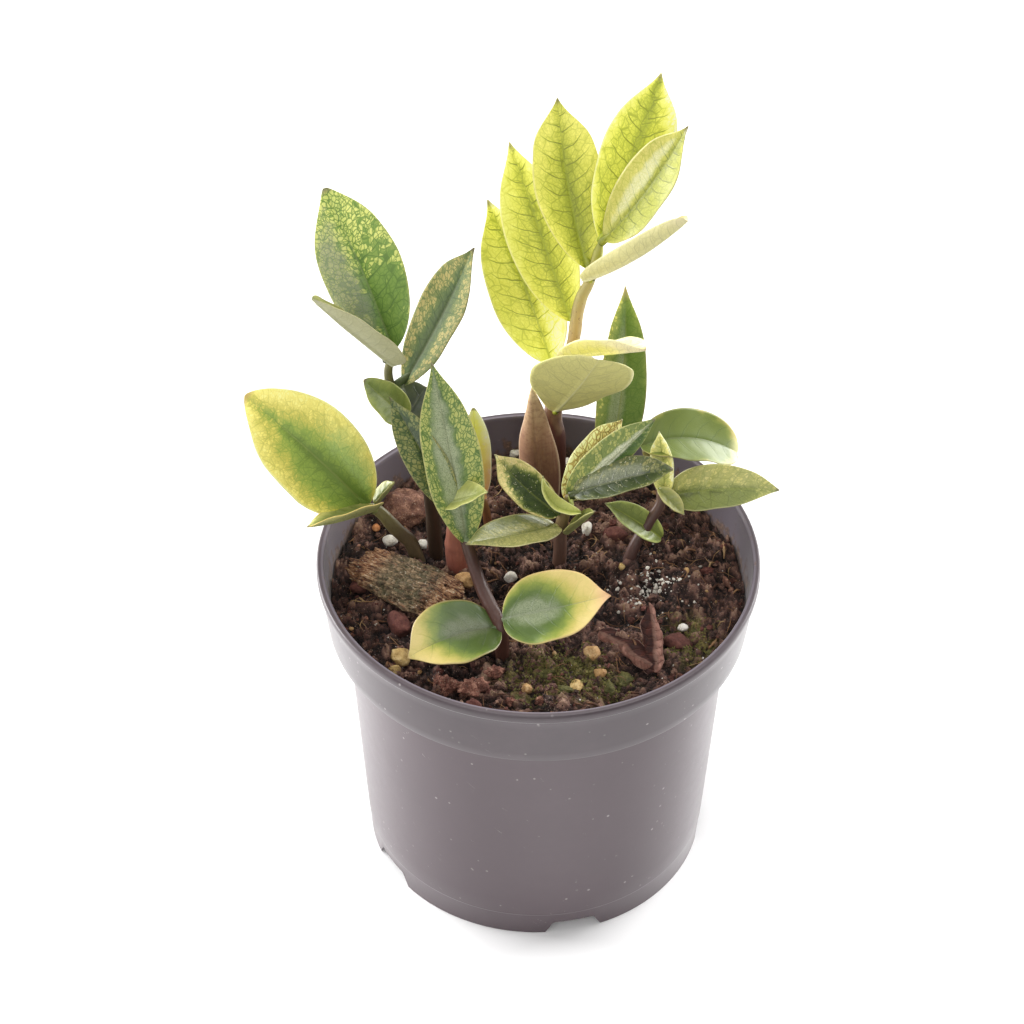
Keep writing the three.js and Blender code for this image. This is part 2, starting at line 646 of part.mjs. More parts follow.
plant.add(meshFrom("sprout_c", sprout, SPROUT_PINK, 0.5));
plant.add(meshFrom("sheath_a", bladeSolid(SHEATH_A), SHEATH_TAN, 0.7));
plant.add(meshFrom("dead_leaf", union(DEAD_LEAF.map((arm) => bladeSolid(arm))), DEAD_LEAF_BROWN, 0.8));
holes.push(bladeHole(SHEATH_A), ...DEAD_LEAF.map(bladeHole));

plant.add(meshFrom("soil", makeSoil(holes), SOIL_BROWN, 1));
plant.add(meshFrom("pot", makePot(), POT_GREY, 0.5));

export default plant;
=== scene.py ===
import math

import bmesh
import bpy
import numpy as np
from mathutils import Matrix, Vector


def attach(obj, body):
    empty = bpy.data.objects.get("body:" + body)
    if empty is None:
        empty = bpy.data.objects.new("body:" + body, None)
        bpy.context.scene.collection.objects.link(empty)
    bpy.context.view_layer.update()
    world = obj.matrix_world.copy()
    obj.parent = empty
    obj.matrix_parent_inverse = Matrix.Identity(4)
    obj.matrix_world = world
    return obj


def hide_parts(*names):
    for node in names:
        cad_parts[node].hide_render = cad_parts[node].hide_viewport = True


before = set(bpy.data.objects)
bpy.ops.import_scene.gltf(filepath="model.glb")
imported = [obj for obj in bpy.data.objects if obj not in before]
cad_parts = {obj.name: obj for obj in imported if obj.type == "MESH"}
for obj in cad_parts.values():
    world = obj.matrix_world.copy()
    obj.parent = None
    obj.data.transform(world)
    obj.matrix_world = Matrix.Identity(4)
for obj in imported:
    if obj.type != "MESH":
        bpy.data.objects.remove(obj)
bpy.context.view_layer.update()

MM = 0.001

# Sizes of the pot and the soil, in mm
RIM_RADIUS = 60
POT_HEIGHT = 100
COLLAR_Z = 80.5
COLLAR_RADIUS = 57.4
BODY_TOP_RADIUS = 52.5
FOOT_LINE_Z = 8.1
FOOT_LINE_RADIUS = 47.9
FOOT_RADIUS = 47.3
WALL = 1.4
FOOT_NOTCHES = 5
FIRST_NOTCH_DEG = 13
NOTCH_WIDTH = 16
NOTCH_TOP_WIDTH = 11
NOTCH_HEIGHT = 4.4
FLOOR_RAISE = 4.8
FLOOR_DISC_RADIUS = 30
SOIL_Z = 87
STEM_FOOT_Z = 79

# The gap between the soil and the pot, and the radius of the soil's innermost ring
CLEARANCE = 0.35
AXIS_RADIUS = 0.05

# Finer meshes than the solids have
POT_SIDES = 240
SHARP_DEG = 32
SOIL_RINGS = 215
SOIL_SECTORS = 360
BLADE_ROWS = 56
BLADE_COLUMNS = 32
TUBE_SIDES = 18
TUBE_STEPS_PER_POINT = 9
STALK_SIDES = 12

# Where along a leaflet its outline starts to run straight to the tip
POINT_FROM = 0.72


# Numbers and noise
def unit(v):
    v = np.asarray(v, float)
    return v / np.linalg.norm(v, axis=-1, keepdims=True)


def pair(x):
    return list(x) if isinstance(x, (list, tuple)) else [x, x]


def stack(*values):
    """The values side by side, as the last axis of one array."""
    return np.stack(np.broadcast_arrays(*values), -1)


def smooth(low, high, x):
    share = np.clip((x - low) / (high - low), 0, 1)
    return share * share * (3 - 2 * share)


def corner_value(x, y, z, seed):
    """A repeatable number from 0 to 1 for each whole-number corner."""
    h = (x * 374761393 + y * 668265263 + z * 1440662683 + seed * 362437) & 0xFFFFFFFF
    h = ((h ^ (h >> 13)) * 1274126177) & 0xFFFFFFFF
    return ((h ^ (h >> 16)) & 0xFFFFFF) / 0xFFFFFF


def noise(points, seed=0):
    """Smooth noise from -1 to 1 at points of 3 numbers."""
    base = np.floor(points).astype(np.int64)
    part = points - base
    part = part * part * (3 - 2 * part)
    total = np.zeros(points.shape[:-1])
    for k in range(8):
        corner = np.array([k & 1, (k >> 1) & 1, (k >> 2) & 1])
        weight = np.prod(np.where(corner == 1, part, 1 - part), axis=-1)
        at = base + corner
        total += weight * corner_value(at[..., 0], at[..., 1], at[..., 2], seed)
    return total * 2 - 1


def layered_noise(points, scale, layers=4, seed=0, fade=0.5):
    total, strength = 0, 1
    for k in range(layers):
        total = total + strength * noise(points * scale * 2**k + 17.3 * k, seed + k)
        strength *= fade
    return total


# Meshes
class Shape:
    """Gathers the parts of one piece. Each point has two marks, blade and spot, that materials read."""

    def __init__(self):
        self.points, self.faces, self.slots, self.marks = [], [], [], []
        self.count = 0

    def add(self, points, faces, slot=0, blade=None, spot=None):
        points = np.asarray(points, float).reshape(-1, 3)
        self.points.append(points)
        self.faces.extend([tuple(int(i) + self.count for i in f) for f in faces])
        self.slots.extend([slot] * len(faces))
        marks = [np.zeros_like(points) if m is None else m.reshape(-1, 3) for m in (blade, spot)]
        self.marks.append(np.hstack(marks))
        self.count += len(points)

    def piece(self, name, materials, nodes=(), slot=None, smooth_faces=True):
        mesh = bpy.data.meshes.new(name)
        mesh.from_pydata((np.vstack(self.points) * MM).tolist(), [], self.faces)
        for material in materials:
            mesh.materials.append(material)
        mesh.polygons.foreach_set("material_index", self.slots)
        mesh.polygons.foreach_set("use_smooth", [smooth_faces] * len(mesh.polygons))
        marks = np.vstack(self.marks)
        for k, mark in enumerate(("blade", "spot")):
            made = mesh.attributes.new(mark, "FLOAT_VECTOR", "POINT")
            values = marks[:, 3 * k : 3 * k + 3].astype(np.float32)
            made.data.foreach_set("vector", values.ravel())
        mesh.update()
        piece = bpy.data.objects.new(name, mesh)
        bpy.context.scene.collection.objects.link(piece)
        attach(piece, "root")
        if nodes:
            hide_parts(*nodes)
        return piece


def grid_faces(rows, columns, wrap=False, start=0, flip=False):
    faces = []
    for i in range(rows - 1):
        for j in range(columns if wrap else columns - 1):
            a = start + i * columns + j
            b = start + i * columns + (j + 1) % columns
            quad = (a, b, b + columns, a + columns)
            faces.append(quad[::-1] if flip else quad)
    return faces


def catmull_rom(points, steps):
    """The points on the smooth centripetal curve through the given ones."""
    n = len(points)
    padded = np.vstack([2 * points[0] - points[1], points, 2 * points[-1] - points[-2]])
    found = []
    for i in range(steps + 1):
        along = i / steps * (n - 1)
        k = min(int(along), n - 2)
        w = along - k
        p0, p1, p2, p3 = padded[k : k + 4]
        d0, d1, d2 = (max(np.linalg.norm(b - a), 1e-4) ** 0.5 for a, b in ((p0, p1), (p1, p2), (p2, p3)))
        t1 = ((p1 - p0) / d0 - (p2 - p0) / (d0 + d1) + (p2 - p1) / d1) * d1
        t2 = ((p2 - p1) / d1 - (p3 - p1) / (d1 + d2) + (p3 - p2) / d2) * d1
        c2 = -3 * p1 + 3 * p2 - 2 * t1 - t2
        c3 = 2 * p1 - 2 * p2 + t1 + t2
        found.append(p1 + t1 * w + c2 * w * w + c3 * w**3)
    return np.array(found)


def stem_line(points, steps):
    """The curve and its radii through points of (x, y, z, radius)."""
    points = np.array(points, float)
    along = np.linspace(0, len(points) - 1, steps + 1)
    return catmull_rom(points[:, :3], steps), np.interp(along, np.arange(len(points)), points[:, 3])


def tube_sheet(path, radii, sides=TUBE_SIDES, ridges=0.0, seed=0):
    """Points round a path, and marks: round the stem in mm, along it in mm, share along."""
    forward = unit(np.gradient(path, axis=0))
    normal = unit(np.cross(forward[0], [0.3, 1, 0.2]))
    normals = []
    for f in forward:
        normal = unit(normal - f * np.dot(normal, f))
        normals.append(normal)
    normals = np.array(normals)
    binormals = np.cross(forward, normals)
    angle = np.linspace(0, 2 * np.pi, sides, endpoint=False)
    cos, sin = np.cos(angle), np.sin(angle)
    around = cos[:, None] * normals[:, None] + sin[:, None] * binormals[:, None]
    steps = np.linalg.norm(np.diff(path, axis=0), axis=1)
    lengths = np.concatenate([[0], np.cumsum(steps)])[:, None]
    radii = radii[:, None]
    uneven = ridges * layered_noise(stack(cos * 3, sin * 3, lengths * 0.25), 1.0, 3, seed)
    points = path[:, None] + around * (radii * (1 + uneven))[..., None]
    return points, stack(angle * radii, lengths, lengths / max(lengths[-1, 0], 1e-6))


def add_tube(shape, path, radii, ridges=0.0, seed=0, sides=TUBE_SIDES):
    points, spot = tube_sheet(path, radii, sides, ridges, seed)
    rows = len(points)
    faces = grid_faces(rows, sides, wrap=True)
    flat = np.vstack([points.reshape(-1, 3), path[0], path[-1]])
    marks = np.vstack([spot.reshape(-1, 3), [0, 0, 0], [0, spot[-1, -1, 1], 1]])
    first, last = rows * sides, rows * sides + 1
    for j in range(sides):
        nxt = (j + 1) % sides
        faces.append((first, nxt, j))
        faces.append((last, (rows - 1) * sides + j, (rows - 1) * sides + nxt))
    shape.add(flat, faces, spot=marks)


# Leaflets
def leaf(base, tip, bow, width, face, fold, curl, shape=(0.7, 0.7), point=1.0):
    """base and tip are the ends of the midrib, bow is how far its middle leaves the straight line, width is
    the half width, face is where the upper side looks, fold and curl are the degrees at which the halves
    rise from the midrib and go on turning, and shape is where the outline swells. A pair gives the left
    and the right half. point draws the last part of the outline in to a sharp tip."""
    ends = [np.array(p, float) for p in (base, tip, bow)]
    values = (*ends, pair(width), unit(face), pair(fold), pair(curl), shape, point)
    return dict(zip(("base", "tip", "bow", "width", "face", "fold", "curl", "shape", "point"), values))


def midrib_of(blade, t):
    t = np.asarray(t, float)[..., None]
    a, c = blade["base"], blade["tip"]
    b = (a + c) / 2 + 2 * blade["bow"]
    point = (1 - t) ** 2 * a + 2 * t * (1 - t) * b + t**2 * c
    forward = unit((1 - t) * (b - a) + t * (c - b))
    return point, forward


def swelling(t, shape):
    base_round, tip_round = shape
    peak = base_round / (base_round + tip_round)
    most = peak**base_round * (1 - peak) ** tip_round
    return np.maximum(t, 0) ** base_round * np.maximum(1 - t, 0) ** tip_round / most


def outline_share(t, shape, point):
    full = swelling(t, shape)
    straight = swelling(POINT_FROM, shape) * (np.maximum(1 - t, 0) / (1 - POINT_FROM)) ** 1.1
    drawn = np.minimum(full, straight) - full
    return full + drawn * point * smooth(POINT_FROM, 0.97, t)


def blade_points(blade, t, s):
    """Points and upper normals over a grid of t along the midrib and s across, with half widths."""
    t, s = np.meshgrid(t, s, indexing="ij")
    centre, forward = midrib_of(blade, t)
    across = unit(np.cross(forward, blade["face"]))
    up = np.cross(across, forward)
    right = s >= 0
    fold = np.radians(np.where(right, blade["fold"][1], blade["fold"][0]))
    curl = np.radians(np.where(right, blade["curl"][1], blade["curl"][0]))
    angle = fold + curl * np.abs(s)
    out = (np.sin(angle) - np.sin(fold)) / curl
    rise = (np.cos(fold) - np.cos(angle)) / curl
    half = np.where(right, blade["width"][1], blade["width"][0])
    half = half * outline_share(t, blade["shape"], blade["point"])
    sign = np.where(right, 1.0, -1.0)
    points = centre + across * (half * out * sign)[..., None] + up * (half * rise)[..., None]
    lean = np.where(s == 0, 0, angle)
    normals = across * (-np.sin(lean) * sign)[..., None] + up * np.cos(lean)[..., None]
    return points, normals, half, t, s


def add_blade(shape, blade, slot, number, rows=BLADE_ROWS, columns=BLADE_COLUMNS, wave=0.3, veins=1.0):
    """A leaflet with a groove over its midrib, a ridge below, low swells between veins and a thin edge."""
    even = np.linspace(0, 1, rows)
    t_line = 0.004 + 0.992 * (even + 0.5 - 0.5 * np.cos(np.pi * even)) / 2
    u = np.linspace(-1, 1, columns + 1)
    points, normals, half, t, s = blade_points(blade, t_line, u * (0.7 + 0.3 * np.abs(u)))
    across_mm, along_mm = s * half, t * np.linalg.norm(blade["tip"] - blade["base"])
    edge, right = np.abs(s), s > 0
    wobble = layered_noise(stack(across_mm, along_mm, number * 7.7), 0.16, 2, number)
    spacing = 0.36 * blade["width"][1] + 1.4
    lead = 0.42 * np.abs(across_mm) * (1 + 1.1 * s**2)
    phase = (along_mm - lead) / spacing + 0.13 * wobble + 0.3 * right + number * 0.37
    ripple = np.abs(phase - np.round(phase)) * 2
    swell = veins * (smooth(0.0, 0.7, ripple) - 0.6) * 0.09 * smooth(0, 0.25, edge) * smooth(1, 0.8, edge)
    turns = 2.6 * t + 0.31 * number + 0.4 * right
    height = wave * min(1, blade["width"][0] / 10)
    edge_wave = height * s**2 * np.sin(2 * np.pi * turns) * smooth(0, 0.2, t)
    fade = smooth(1, 0.55, t)
    groove = 0.2 * np.exp(-((across_mm / 0.45) ** 2)) * fade
    ridge = 0.5 * np.exp(-((across_mm / 0.6) ** 2)) * (0.25 + 0.75 * fade)
    body = (0.3 - 0.2 * edge**3) * np.minimum(1, 12 * np.minimum(t, 1.004 - t) + 0.15)
    middle = points + (edge_wave + 0.12 * wobble * edge)[..., None] * normals
    top = middle + (body + swell - groove)[..., None] * normals
    bottom = middle - (body - swell + ridge)[..., None] * normals
    n, m = t.shape
    count = n * m
    faces = grid_faces(n, m, flip=True) + grid_faces(n, m, start=count)
    border = list(range(m - 1)) + [i * m + m - 1 for i in range(n - 1)]
    border += [(n - 1) * m + j for j in range(m - 1, 0, -1)] + [i * m for i in range(n - 1, 0, -1)]
    for a, b in zip(border, border[1:] + border[:1]):
        faces.append((a, b, b + count, a + count))
    sides = np.stack([stack(s, t, 0), stack(s, t, 1)])
    spot = stack(across_mm, along_mm + 60 * number, phase)
    shape.add(np.stack([top, bottom]), faces, slot, blade=sides, spot=np.stack([spot, spot]))


def add_stalk(shape, path, blade, slot):
    """The short stalk that carries a leaflet: it thins out under the blade's base."""
    near = path[np.argmin(np.linalg.norm(path - blade["base"], axis=1))]
    inside, forward = midrib_of(blade, np.array(0.1))
    up = np.cross(unit(np.cross(forward, blade["face"])), forward)
    radius = min(1.3, 0.16 * blade["width"][0] + 0.3)
    inside = inside - up * 0.55 * radius
    w = np.linspace(0, 1, 9)
    line = near + (inside - near) * w[:, None]
    points, spot = tube_sheet(line, radius * (1 - 0.62 * w**1.5), STALK_SIDES, 0.04, 3)
    marks = np.zeros_like(spot)
    marks[..., 1] = 0.03
    spot[..., 0] *= 0.2
    shape.add(points, grid_faces(len(points), STALK_SIDES, wrap=True), slot, blade=marks, spot=spot)


# Materials
def lit_colour(colour, light):
    """The colour in a place where less or more light falls."""
    return [min(255, c * light ** (1 / 2.2)) for c in colour]


def linear(colour):
    """A colour of 0 to 255 numbers as the renderer's own."""
    c = np.array(colour, float) / 255
    c = np.where(c <= 0.04045, c / 12.92, ((c + 0.055) / 1.055) ** 2.4)
    return (*c.tolist(), 1.0)


def joined_by(operation):
    return lambda self, other: self.graph.math(operation, self, other)


class Wire:
    """A node's output. Sums and products of wires and numbers make Math nodes."""

    def __init__(self, graph, socket):
        self.graph, self.socket = graph, socket

    __add__, __sub__ = joined_by("ADD"), joined_by("SUBTRACT")
    __mul__, __truediv__ = joined_by("MULTIPLY"), joined_by("DIVIDE")

    def __rsub__(self, other):
        return self.graph.math("SUBTRACT", other, self)

    def __abs__(self):
        return self.graph.math("ABSOLUTE", self)


class Graph:
    """Wires a material's nodes. A value is a wire or what the socket takes by itself. mix and ramp take
    colours of three numbers from 0 to 255, and mix also colours of four as the renderer has them."""

    def __init__(self, name):
        self.material = bpy.data.materials.new(name)
        self.material.use_nodes = True
        self.tree = self.material.node_tree
        self.tree.nodes.clear()
        out = self.tree.nodes.new("ShaderNodeOutputMaterial")
        self.shader = self.tree.nodes.new("ShaderNodeBsdfPrincipled")
        self.tree.links.new(self.shader.outputs[0], out.inputs[0])

    def feed(self, socket, value):
        if isinstance(value, Wire):
            self.tree.links.new(value.socket, socket)
        else:
            socket.default_value = value

    def make(self, kind, inputs, **settings):
        made = self.tree.nodes.new("ShaderNode" + kind)
        for key, value in settings.items():
            setattr(made, key, value)
        for key, value in inputs.items():
            self.feed(made.inputs[key], value)
        return made

    def node(self, kind, inputs, output=0, **settings):
        return Wire(self, self.make(kind, inputs, **settings).outputs[output])

    def math(self, operation, *values, clamp=False):
        return self.node("Math", dict(enumerate(values)), operation=operation, use_clamp=clamp)

    def smooth(self, low, high, x):
        """0 at low, 1 at high, eased; low may be above high."""
        inputs = {"Value": x, "From Min": min(low, high), "From Max": max(low, high)}
        if low > high:
            inputs["To Min"], inputs["To Max"] = 1.0, 0.0
        return self.node("MapRange", inputs, interpolation_type="SMOOTHSTEP")

    def split(self, vector):
        return [Wire(self, socket) for socket in self.make("SeparateXYZ", {0: vector}).outputs]

    def join(self, x, y, z):
        return self.node("CombineXYZ", {0: x, 1: y, 2: z})

    def mark(self, name):
        """The three numbers of one of the mesh's marks."""
        return self.split(self.node("Attribute", {}, "Vector", attribute_name=name))

    def position(self):
        """The place on the object, in mm."""
        place = self.node("TexCoord", {}, "Object")
        return self.node("VectorMath", {0: place, "Scale": 1000.0}, operation="SCALE")

    def ellipse(self, t, s, core):
        """How far a point is from an ellipse's middle: 1 on the ellipse."""
        t_mid, t_reach, s_mid, s_reach = core
        up = (t - t_mid) * (1 / t_reach)
        aside = (s - s_mid) * (1 / s_reach)
        return self.math("SQRT", up * up + aside * aside)

    def noise(self, vector, scale, detail=3.0, rough=0.55):
        inputs = {"Vector": vector, "Scale": scale, "Detail": detail, "Roughness": rough}
        return self.node("TexNoise", inputs)

    def swayed(self, vector, scale):
        """The vector, moved about by noise."""
        sway = self.node("TexNoise", {"Vector": vector, "Scale": scale}, 1)
        return self.node("VectorMath", {0: vector, 1: sway}, operation="ADD")

    def cells(self, vector, scale, feature="F1", output="Distance"):
        return self.node("TexVoronoi", {"Vector": vector, "Scale": scale}, output, feature=feature)

    def dots(self, place, scale, size, patch_scale, patch):
        """Small round marks that lie in patches. size and patch are from and to values."""
        near = self.noise(place, patch_scale, 2.0)
        return self.smooth(*size, self.cells(place, scale)) * self.smooth(*patch, near)

    def mix(self, share, a, b, blend="MIX"):
        a, b = (linear(c) if isinstance(c, (tuple, list)) and len(c) == 3 else c for c in (a, b))
        return self.node("Mix", {0: share, 6: a, 7: b}, 2, data_type="RGBA", blend_type=blend)

    def ramp(self, share, stops):
        made = self.make("ValToRGB", {0: share})
        ramp = made.color_ramp
        while len(ramp.elements) < len(stops):
            ramp.elements.new(0.5)
        for element, (at, colour) in zip(ramp.elements, stops):
            element.position = at
            element.color = linear(colour)
        return Wire(self, made.outputs[0])

    def bump(self, height, distance, strength=1.0):
        return self.node("Bump", {"Height": height, "Distance": distance * MM, "Strength": strength})

    def surface(self, colour, rough, gloss, normal=None, **constants):
        constants["Specular_IOR_Level"] = gloss
        self.feed(self.shader.inputs["Base Color"], colour)
        self.feed(self.shader.inputs["Roughness"], rough)
        if normal:
            self.feed(self.shader.inputs["Normal"], normal)
        for key, value in constants.items():
            self.shader.inputs[key.replace("_", " ")].default_value = value
        return self.material


def leaf_material(
    name, stops, core=(0.4, 0.7, 0.0, 1.0), tone=(0.2, 0.8), fade=(0.4, 1.1), drift=0.35,
    cells=(0.0, 0.0), cells_fade=(0.3, 1.0), cell_mm=0.9, jump=0.5, vein=0.3, net=0.12, glow=0.1,
    sheen_and_patch=0.0, sheen_and_patch_core=(0.4, 0.4, 0.0, 0.5), sheen_and_patch_colour=(160, 167, 136), specks=0.0,
    midrib=(112, 120, 56), midrib_share=0.45, rim=(206, 198, 132), rim_share=0.5,
    tip_colour=(122, 108, 84), tip_from=0.955, under=(122, 126, 72), under_share=0.85,
    foot=None, foot_to=0.3, rough=0.36, light=1.0,
):
    """A leaflet. stops run from its green to its yellow. core is the ellipse in which it keeps its green:
    middle and reach along the leaf, then middle and reach across it. tone says how yellow it is inside and
    outside, cells how many of the small cells between the veins are yellow there, and fade and cells_fade
    where the change lies. vein, net and glow green the side veins, the fine veins and the strip along the
    midrib. The sheen settings lay a colour over an ellipse of their own: on most leaflets a pale painted
    sheen, a painted reflection of the lamps, and on b3 a dull darker centre of the leaf's own colour. light
    is how much falls on it all."""

    def lit(colour):
        return lit_colour(colour, light)

    g = Graph(name)
    s, t, beneath = g.mark("blade")
    across, along, phase = g.mark("spot")
    reach = abs(s)
    flat = g.join(across, along, 0.0)
    wander = g.noise(flat, 0.22)
    wx, wy, _ = g.split(g.swayed(flat, 0.5))
    slanted = g.join(wx, (wy - abs(wx) * 0.5) * 0.8, 0.0)
    swerve = (g.noise(flat, 0.3, 2.0) - 0.5) * 0.26
    ripple = g.math("PINGPONG", phase + swerve, 0.5)
    lateral = g.smooth(0.052, 0.008, ripple) * g.smooth(1.0, 0.5, reach)
    coarse_edge = g.cells(slanted, 0.36, "DISTANCE_TO_EDGE")
    wall = g.cells(slanted, 1.0 / cell_mm, "DISTANCE_TO_EDGE")
    chance = g.split(g.cells(slanted, 1.0 / cell_mm, "F1", "Color"))[0]
    netting = g.math("MAXIMUM", g.smooth(0.06, 0.012, coarse_edge), g.smooth(0.12, 0.04, wall) * 0.5)
    mid = g.smooth(1.0, 0.3, abs(across) / ((1.12 - t) * 0.5))
    beside = g.smooth(2.8, 0.2, abs(across))

    far = g.ellipse(t, s, core) + (wander - 0.5) * (2 * drift)
    yellow = g.smooth(*fade, far) * (tone[1] - tone[0]) + tone[0]
    chosen = (g.smooth(*cells_fade, far) * (cells[1] - cells[0]) + cells[0]) * (wander + 0.5)
    patch = g.smooth(0.0, 0.16, chosen - chance) * g.smooth(0.02, 0.11, wall)
    dark = g.math("MAXIMUM", lateral * vein, netting * net)
    yellow = g.math("SUBTRACT", yellow + patch * jump, dark + beside * glow, clamp=True)
    colour = g.ramp(yellow, [(at, lit(c)) for at, c in stops])
    if foot:
        low = g.smooth(foot_to, 0.0, t + (wander - 0.5) * 0.2)
        colour = g.mix(low * 0.9, colour, lit(foot))

    grain = g.noise(flat, 3.0)
    # Painted sheen: a pale painted reflection of the lamps over the sheen ellipse (on b3 a darker centre of the
    # leaf's own colour)
    if sheen_and_patch:
        near = g.smooth(1.1, 0.45, g.ellipse(t, s, sheen_and_patch_core) + (wander - 0.5) * 0.9)
        sheen_and_patch_share = near * sheen_and_patch * (1.0 - netting * 0.2) * g.smooth(0.15, 0.6, grain)
        colour = g.mix(sheen_and_patch_share, colour, lit(sheen_and_patch_colour))
    if specks:
        dots = g.dots(flat, 1.7, (0.3, 0.15), 0.5, (0.5, 0.62))
        colour = g.mix(dots * specks, colour, (214, 208, 178))
    colour = g.mix(mid * midrib_share, colour, lit(midrib))
    colour = g.mix(g.smooth(0.94, 0.985, reach) * rim_share, colour, lit(rim))
    colour = g.mix(g.smooth(tip_from, 0.99, t) * 0.75, colour, tip_colour)
    veiny = g.math("MAXIMUM", lateral, netting * 0.6)
    below = g.mix(veiny * 0.4, under, [0.7 * c for c in under])
    below = g.mix(mid * 0.5, below, [0.5 * c + 120 for c in under])
    colour = g.mix(beneath * under_share, colour, below)
    colour = g.mix(g.smooth(0.45, 0.8, grain) * 0.12, colour, (1.0, 1.0, 0.9, 1.0), "SOFT_LIGHT")
    relief = grain * 0.2 - (lateral * 0.45 + (netting * 0.08 + mid * 0.4))
    roughness = g.noise(flat, 0.5, 2.0) * 0.16 + (beneath * 0.12 + (rough - 0.08))
    return g.surface(colour, roughness, 0.5, g.bump(relief, 0.12, 0.7))


def stem_material(name, stops, rough, speck=(60, 40, 34), speck_share=0.5):
    """stops run from the stem's foot to its top."""
    g = Graph(name)
    share = g.mark("spot")[2]
    place = g.position()
    x, y, z = g.split(place)
    streak = g.noise(g.join(x, y, z * 0.16), 1.6, 4.0)
    colour = g.ramp(share + (g.noise(place, 0.14, 2.0) - 0.5) * 0.3, stops)
    colour = g.mix(g.smooth(0.55, 0.75, streak) * 0.45, colour, (0.75, 0.62, 0.5, 1), "MULTIPLY")
    colour = g.mix(g.smooth(0.45, 0.25, streak) * 0.3, colour, (1.0, 0.9, 0.78, 1), "SOFT_LIGHT")
    dot = g.smooth(0.3, 0.16, g.cells(g.join(x, y, z * 0.6), 1.5))
    dot = dot * g.smooth(0.5, 0.62, g.noise(place, 0.9, 2.0))
    colour = g.mix(dot * speck_share, colour, speck)
    relief = streak * 0.6 + dot * -0.3
    return g.surface(colour, streak * 0.2 + (rough - 0.1), 0.4, g.bump(relief, 0.15, 0.8))


# The shoots. A stem's points are x, y, z and radius, and bark colours it from its foot to its top. Each
# leaflet of LEAVES has the name of its look, and then what leaf() takes.
SHOOTS, LEAVES = {}, {}

# The tall yellow-green shoot at the back
SHOOTS["a"] = dict(
    slot="leaf_yellow",
    stem=[
        (4.5, 40, STEM_FOOT_Z, 3), (5, 41, 106, 2.7), (4, 43, 114.5, 2.5), (6.5, 44, 126, 2.1),
        (9, 46, 136, 1.8), (11, 48, 150.5, 1.65), (13.5, 49, 156.5, 1.5), (16.2, 50.7, 168, 1.3),
    ],
    bark=[
        (0.0, (62, 35, 29)), (0.34, (74, 40, 33)), (0.47, (150, 122, 88)), (0.65, (168, 146, 106)),
        (0.85, (170, 156, 104)), (1.0, (168, 170, 86)),
    ],
    rough=0.4,
)
LEAVES["a"] = [
    ("a1", [4, 42, 115], [15.5, 24, 149.5], [0, 0, -1], 14, [0.04, 0.8, 0.45], 4, 8, [1, 0.55], 0),
    ("a2", [5, 45, 132.5], [28, 22, 154.5], [0, 0, 0.4], 7.5, [0, 0.45, 0.9], [18, 30], 10, [0.8, 0.6], 0.6),
    ("a3", [3.5, 45, 130], [-14.5, 66, 170.5], [1, 1, -1], 10.3, [-0.15, -0.75, 0.6], 8, 18, [0.68, 0.8]),
    ("a4", [8.5, 47, 143.5], [-8.5, 66, 190], [0, 1, -1], 9.6, [-0.2, -0.7, 0.6], 8, 22, [0.75, 0.8]),
    ("a5", [12.5, 50, 159.5], [4, 66, 204.5], [-1.2, 1, 0], 9.5, [0.1, -0.75, 0.6], 4, 15, [0.8, 0.72]),
    ("a6", [11.5, 48, 157], [38, 32, 190], [0, 0, -2.2], 5.4, [-0.3, 0.5, 0.7], [25, 35], 42, [0.4, 0.36], 0),
    ("a7", [16, 51, 168.5], [31.5, 68, 211], [0.6, 0, 0], 9.9, [0.2, -0.75, 0.6], 6, 12, [0.78, 0.72]),
    ("a8", [17, 50, 169.5], [37.5, 42, 213], [1, -1, -1], 8.6, [-0.5, -0.4, 0.7], [20, 3], [25, 10]),
]

# The mottled green shoot at the left
SHOOTS["b"] = dict(
    slot="leaf_green",
    stem=[
        (-27.8, 15.4, STEM_FOOT_Z, 2.1), (-29, 14.6, 105, 2), (-31, 14, 122.5, 1.7),
        (-36, 15, 137.5, 1.4), (-40, 16, 150, 1.2), (-38.7, 16.5, 158, 0.9),
    ],
    bark=[(0.0, (54, 40, 30)), (0.5, (52, 40, 29)), (0.8, (66, 58, 38)), (1.0, (104, 102, 62))],
    rough=0.45,
)
LEAVES["b"] = [
    ("b4", [-35.5, 14, 137], [-46, 6, 157], [0, 0, 0], 5, [0.1, -0.6, 0.7], 10, 20, [0.45, 0.6], 0),
    ("b5", [-36, 15, 135.5], [-30.5, 26, 138], [0, 0, 0], 6, [0, -0.6, 0.7], 10, 20, [0.5, 0.5], 0),
    ("b2", [-38.5, 14, 155.5], [-58, 0, 189], [0, 0, 0], 8, [0.3, 0.45, 0.85], [15, 20], 20, [0.35, 0.6], 0),
    ("b3", [-36, 16, 147], [-17.5, 26, 185.5], [1.2, 1, 0], 8.2, [-0.5, -0.5, 0.6], [3, 12], 12),
    ("b1", [-38.5, 16, 159], [-55.5, 26, 204.5], [0.3, 1, 0], 10.9, [0.1, -0.75, 0.6], 10, 10, [0.66, 0.66], 0.5),
]

